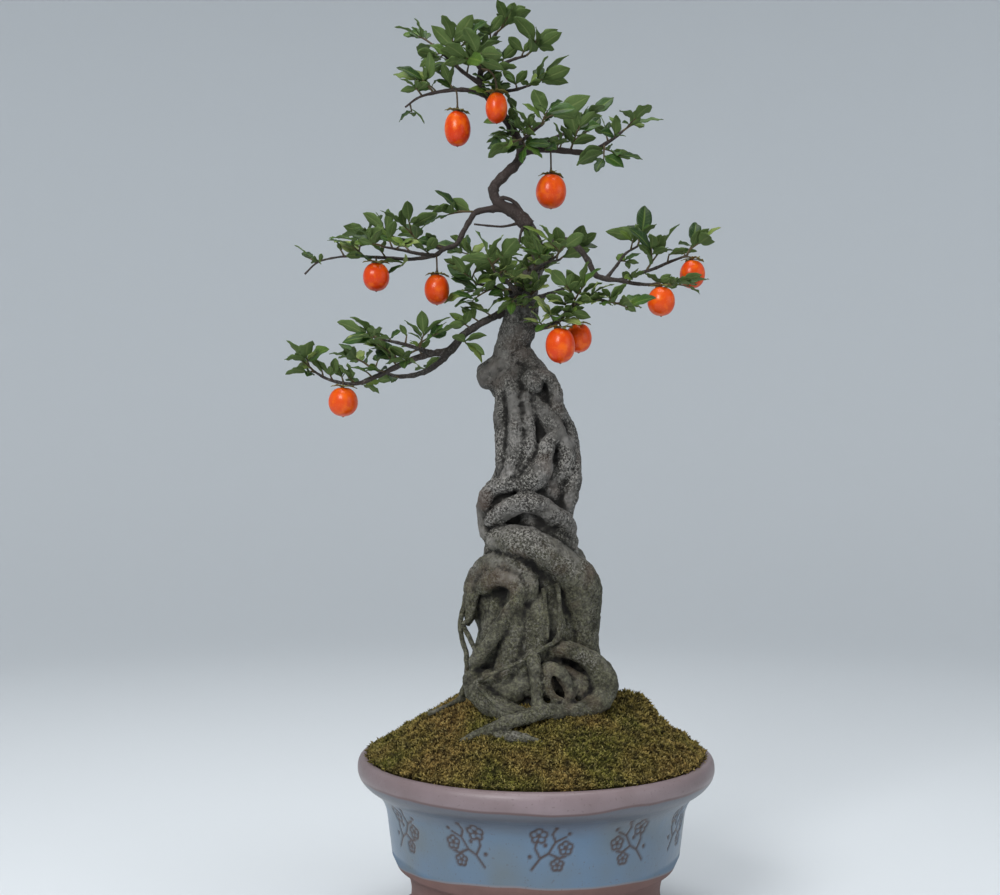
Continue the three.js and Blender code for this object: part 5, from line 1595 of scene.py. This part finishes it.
# %% Plant the moss
SHOOT_COUNT, SHOOT_RING = 56000, (34, MOUND_END + 0.8)
FRINGE_COUNT, FRINGE_RING = 2600, (137, 142.5)
SHOOT_LENGTH, SHOOT_WIDTH = (2.0, 4.8), 0.8
SHOOT_SINK, FRINGE_LIFT = 0.6, 0.2
SHOOT_CORNERS = [(0, 2, 1), (0, 1, 3), (0, 3, 2), (4, 1, 2), (4, 3, 1), (4, 2, 3)]
planting = np.random.default_rng(20)


def plant(count, inner, outer):
    """Places spread evenly over the mound, with the direction that each shoot leans in"""
    reach = np.sqrt(planting.uniform(inner ** 2, outer ** 2, count))
    turn = planting.uniform(0, 2 * math.pi, count)
    places = np.stack([reach * np.cos(turn), reach * np.sin(turn), mound_height(reach)], 1)
    places[:, 2] += cushion_rise(places, reach) - SHOOT_SINK
    out = np.stack([np.cos(turn), np.sin(turn), np.zeros(count)], 1)
    return places, unit(planting.normal(0, 0.8, (count, 3)) + out * 0.35 + (0, 0, 0.8))


def clear_of_wood(places):
    """A place is inside the wood if the first skin above it is seen from within"""
    tree = BVHTree.FromPolygons(trunk_places.tolist(), trunk_faces)
    above = [tree.ray_cast(Vector(place), Vector(UP)) for place in places]
    return np.array([hit is None or normal.z < 0 for hit, normal, _, _ in above])


def shoots_part(places, leans):
    count = len(places)
    length = planting.uniform(*SHOOT_LENGTH, count)[:, None]
    spin = unit(np.cross(leans, planting.normal(0, 1, (count, 3))))
    back = np.cross(leans, spin)
    middle = places + leans * length * 0.5
    tips = places + leans * length + back * length * 0.25
    around = [middle + spin * SHOOT_WIDTH, middle - spin * SHOOT_WIDTH, middle - back * SHOOT_WIDTH * 0.5]
    corners = np.stack([places, *around, tips], 1).reshape(-1, 3)
    faces = (np.array(SHOOT_CORNERS)[None] + 5 * np.arange(count)[:, None, None]).reshape(-1, 3).tolist()
    tone = np.repeat(planting.uniform(0, 1, count), 5)
    return part(corners, faces, tip=np.tile((0, 0.5, 0.5, 0.5, 1), count), tone=tone)


mound_places, mound_leans = plant(SHOOT_COUNT, *SHOOT_RING)
fringe_places, fringe_leans = plant(FRINGE_COUNT, *FRINGE_RING)
fringe_places[:, 2] = np.maximum(fringe_places[:, 2], POT_HEIGHT + FRINGE_LIFT)
moss_places = np.concatenate([mound_places, fringe_places])
moss_leans = np.concatenate([mound_leans, fringe_leans])
free = clear_of_wood(moss_places)
moss_places, moss_leans = moss_places[free], moss_leans[free]
print("moss shoots", len(moss_places))

# %% [markdown]
# ## Moss colour
# The moss is dry in places: olive green where it is damp, ochre brown where it is not. It is painted dark at
# the foot of its shoots and on its bed, as shade between the shoots, and pale at the tips in clumps, partly
# the moss's own paler tips and partly a painted highlight. Patches some centimetres wide come from a slow
# noise.

# %% Mix the moss and make it
MOSS_PIECES = 3
moss = Finish("olive moss", Specular_IOR_Level=0.15)
dryness = moss.patches(48, 3, 0.36, 0.64)
deep = moss.blend(dryness, (42, 42, 18), (58, 44, 22))
light = moss.blend(dryness, (142, 138, 64), (182, 152, 88))
# painted highlight and shade, partly the moss's own paler tips: shoots pale at their tips in clumps, dark at
# their foot and on the bed
lit = moss.times(moss.between(moss.mark("tip"), -0.2, 1.0), moss.patches(6, 2, 0.36, 0.62))
tone = moss.mark("tone")
straw, shaded = moss.between(tone, 0.6, 1.4), moss.between(tone, 0.4, -0.3)
moss_shade = moss.coats(deep, (lit, light), (straw, (178, 162, 104)), (shaded, (40, 34, 18)))
moss_skin = moss.finished(moss_shade, 0.9, moss.grain(1.5, 2), 0.5)
make_piece("moss_bed", bed_made, moss_skin, ["moss"])
for number in range(MOSS_PIECES):
    chosen = slice(number, None, MOSS_PIECES)
    made = shoots_part(moss_places[chosen], moss_leans[chosen])
    make_piece(f"moss_shoots_{number + 1}", made, moss_skin, ["moss"])
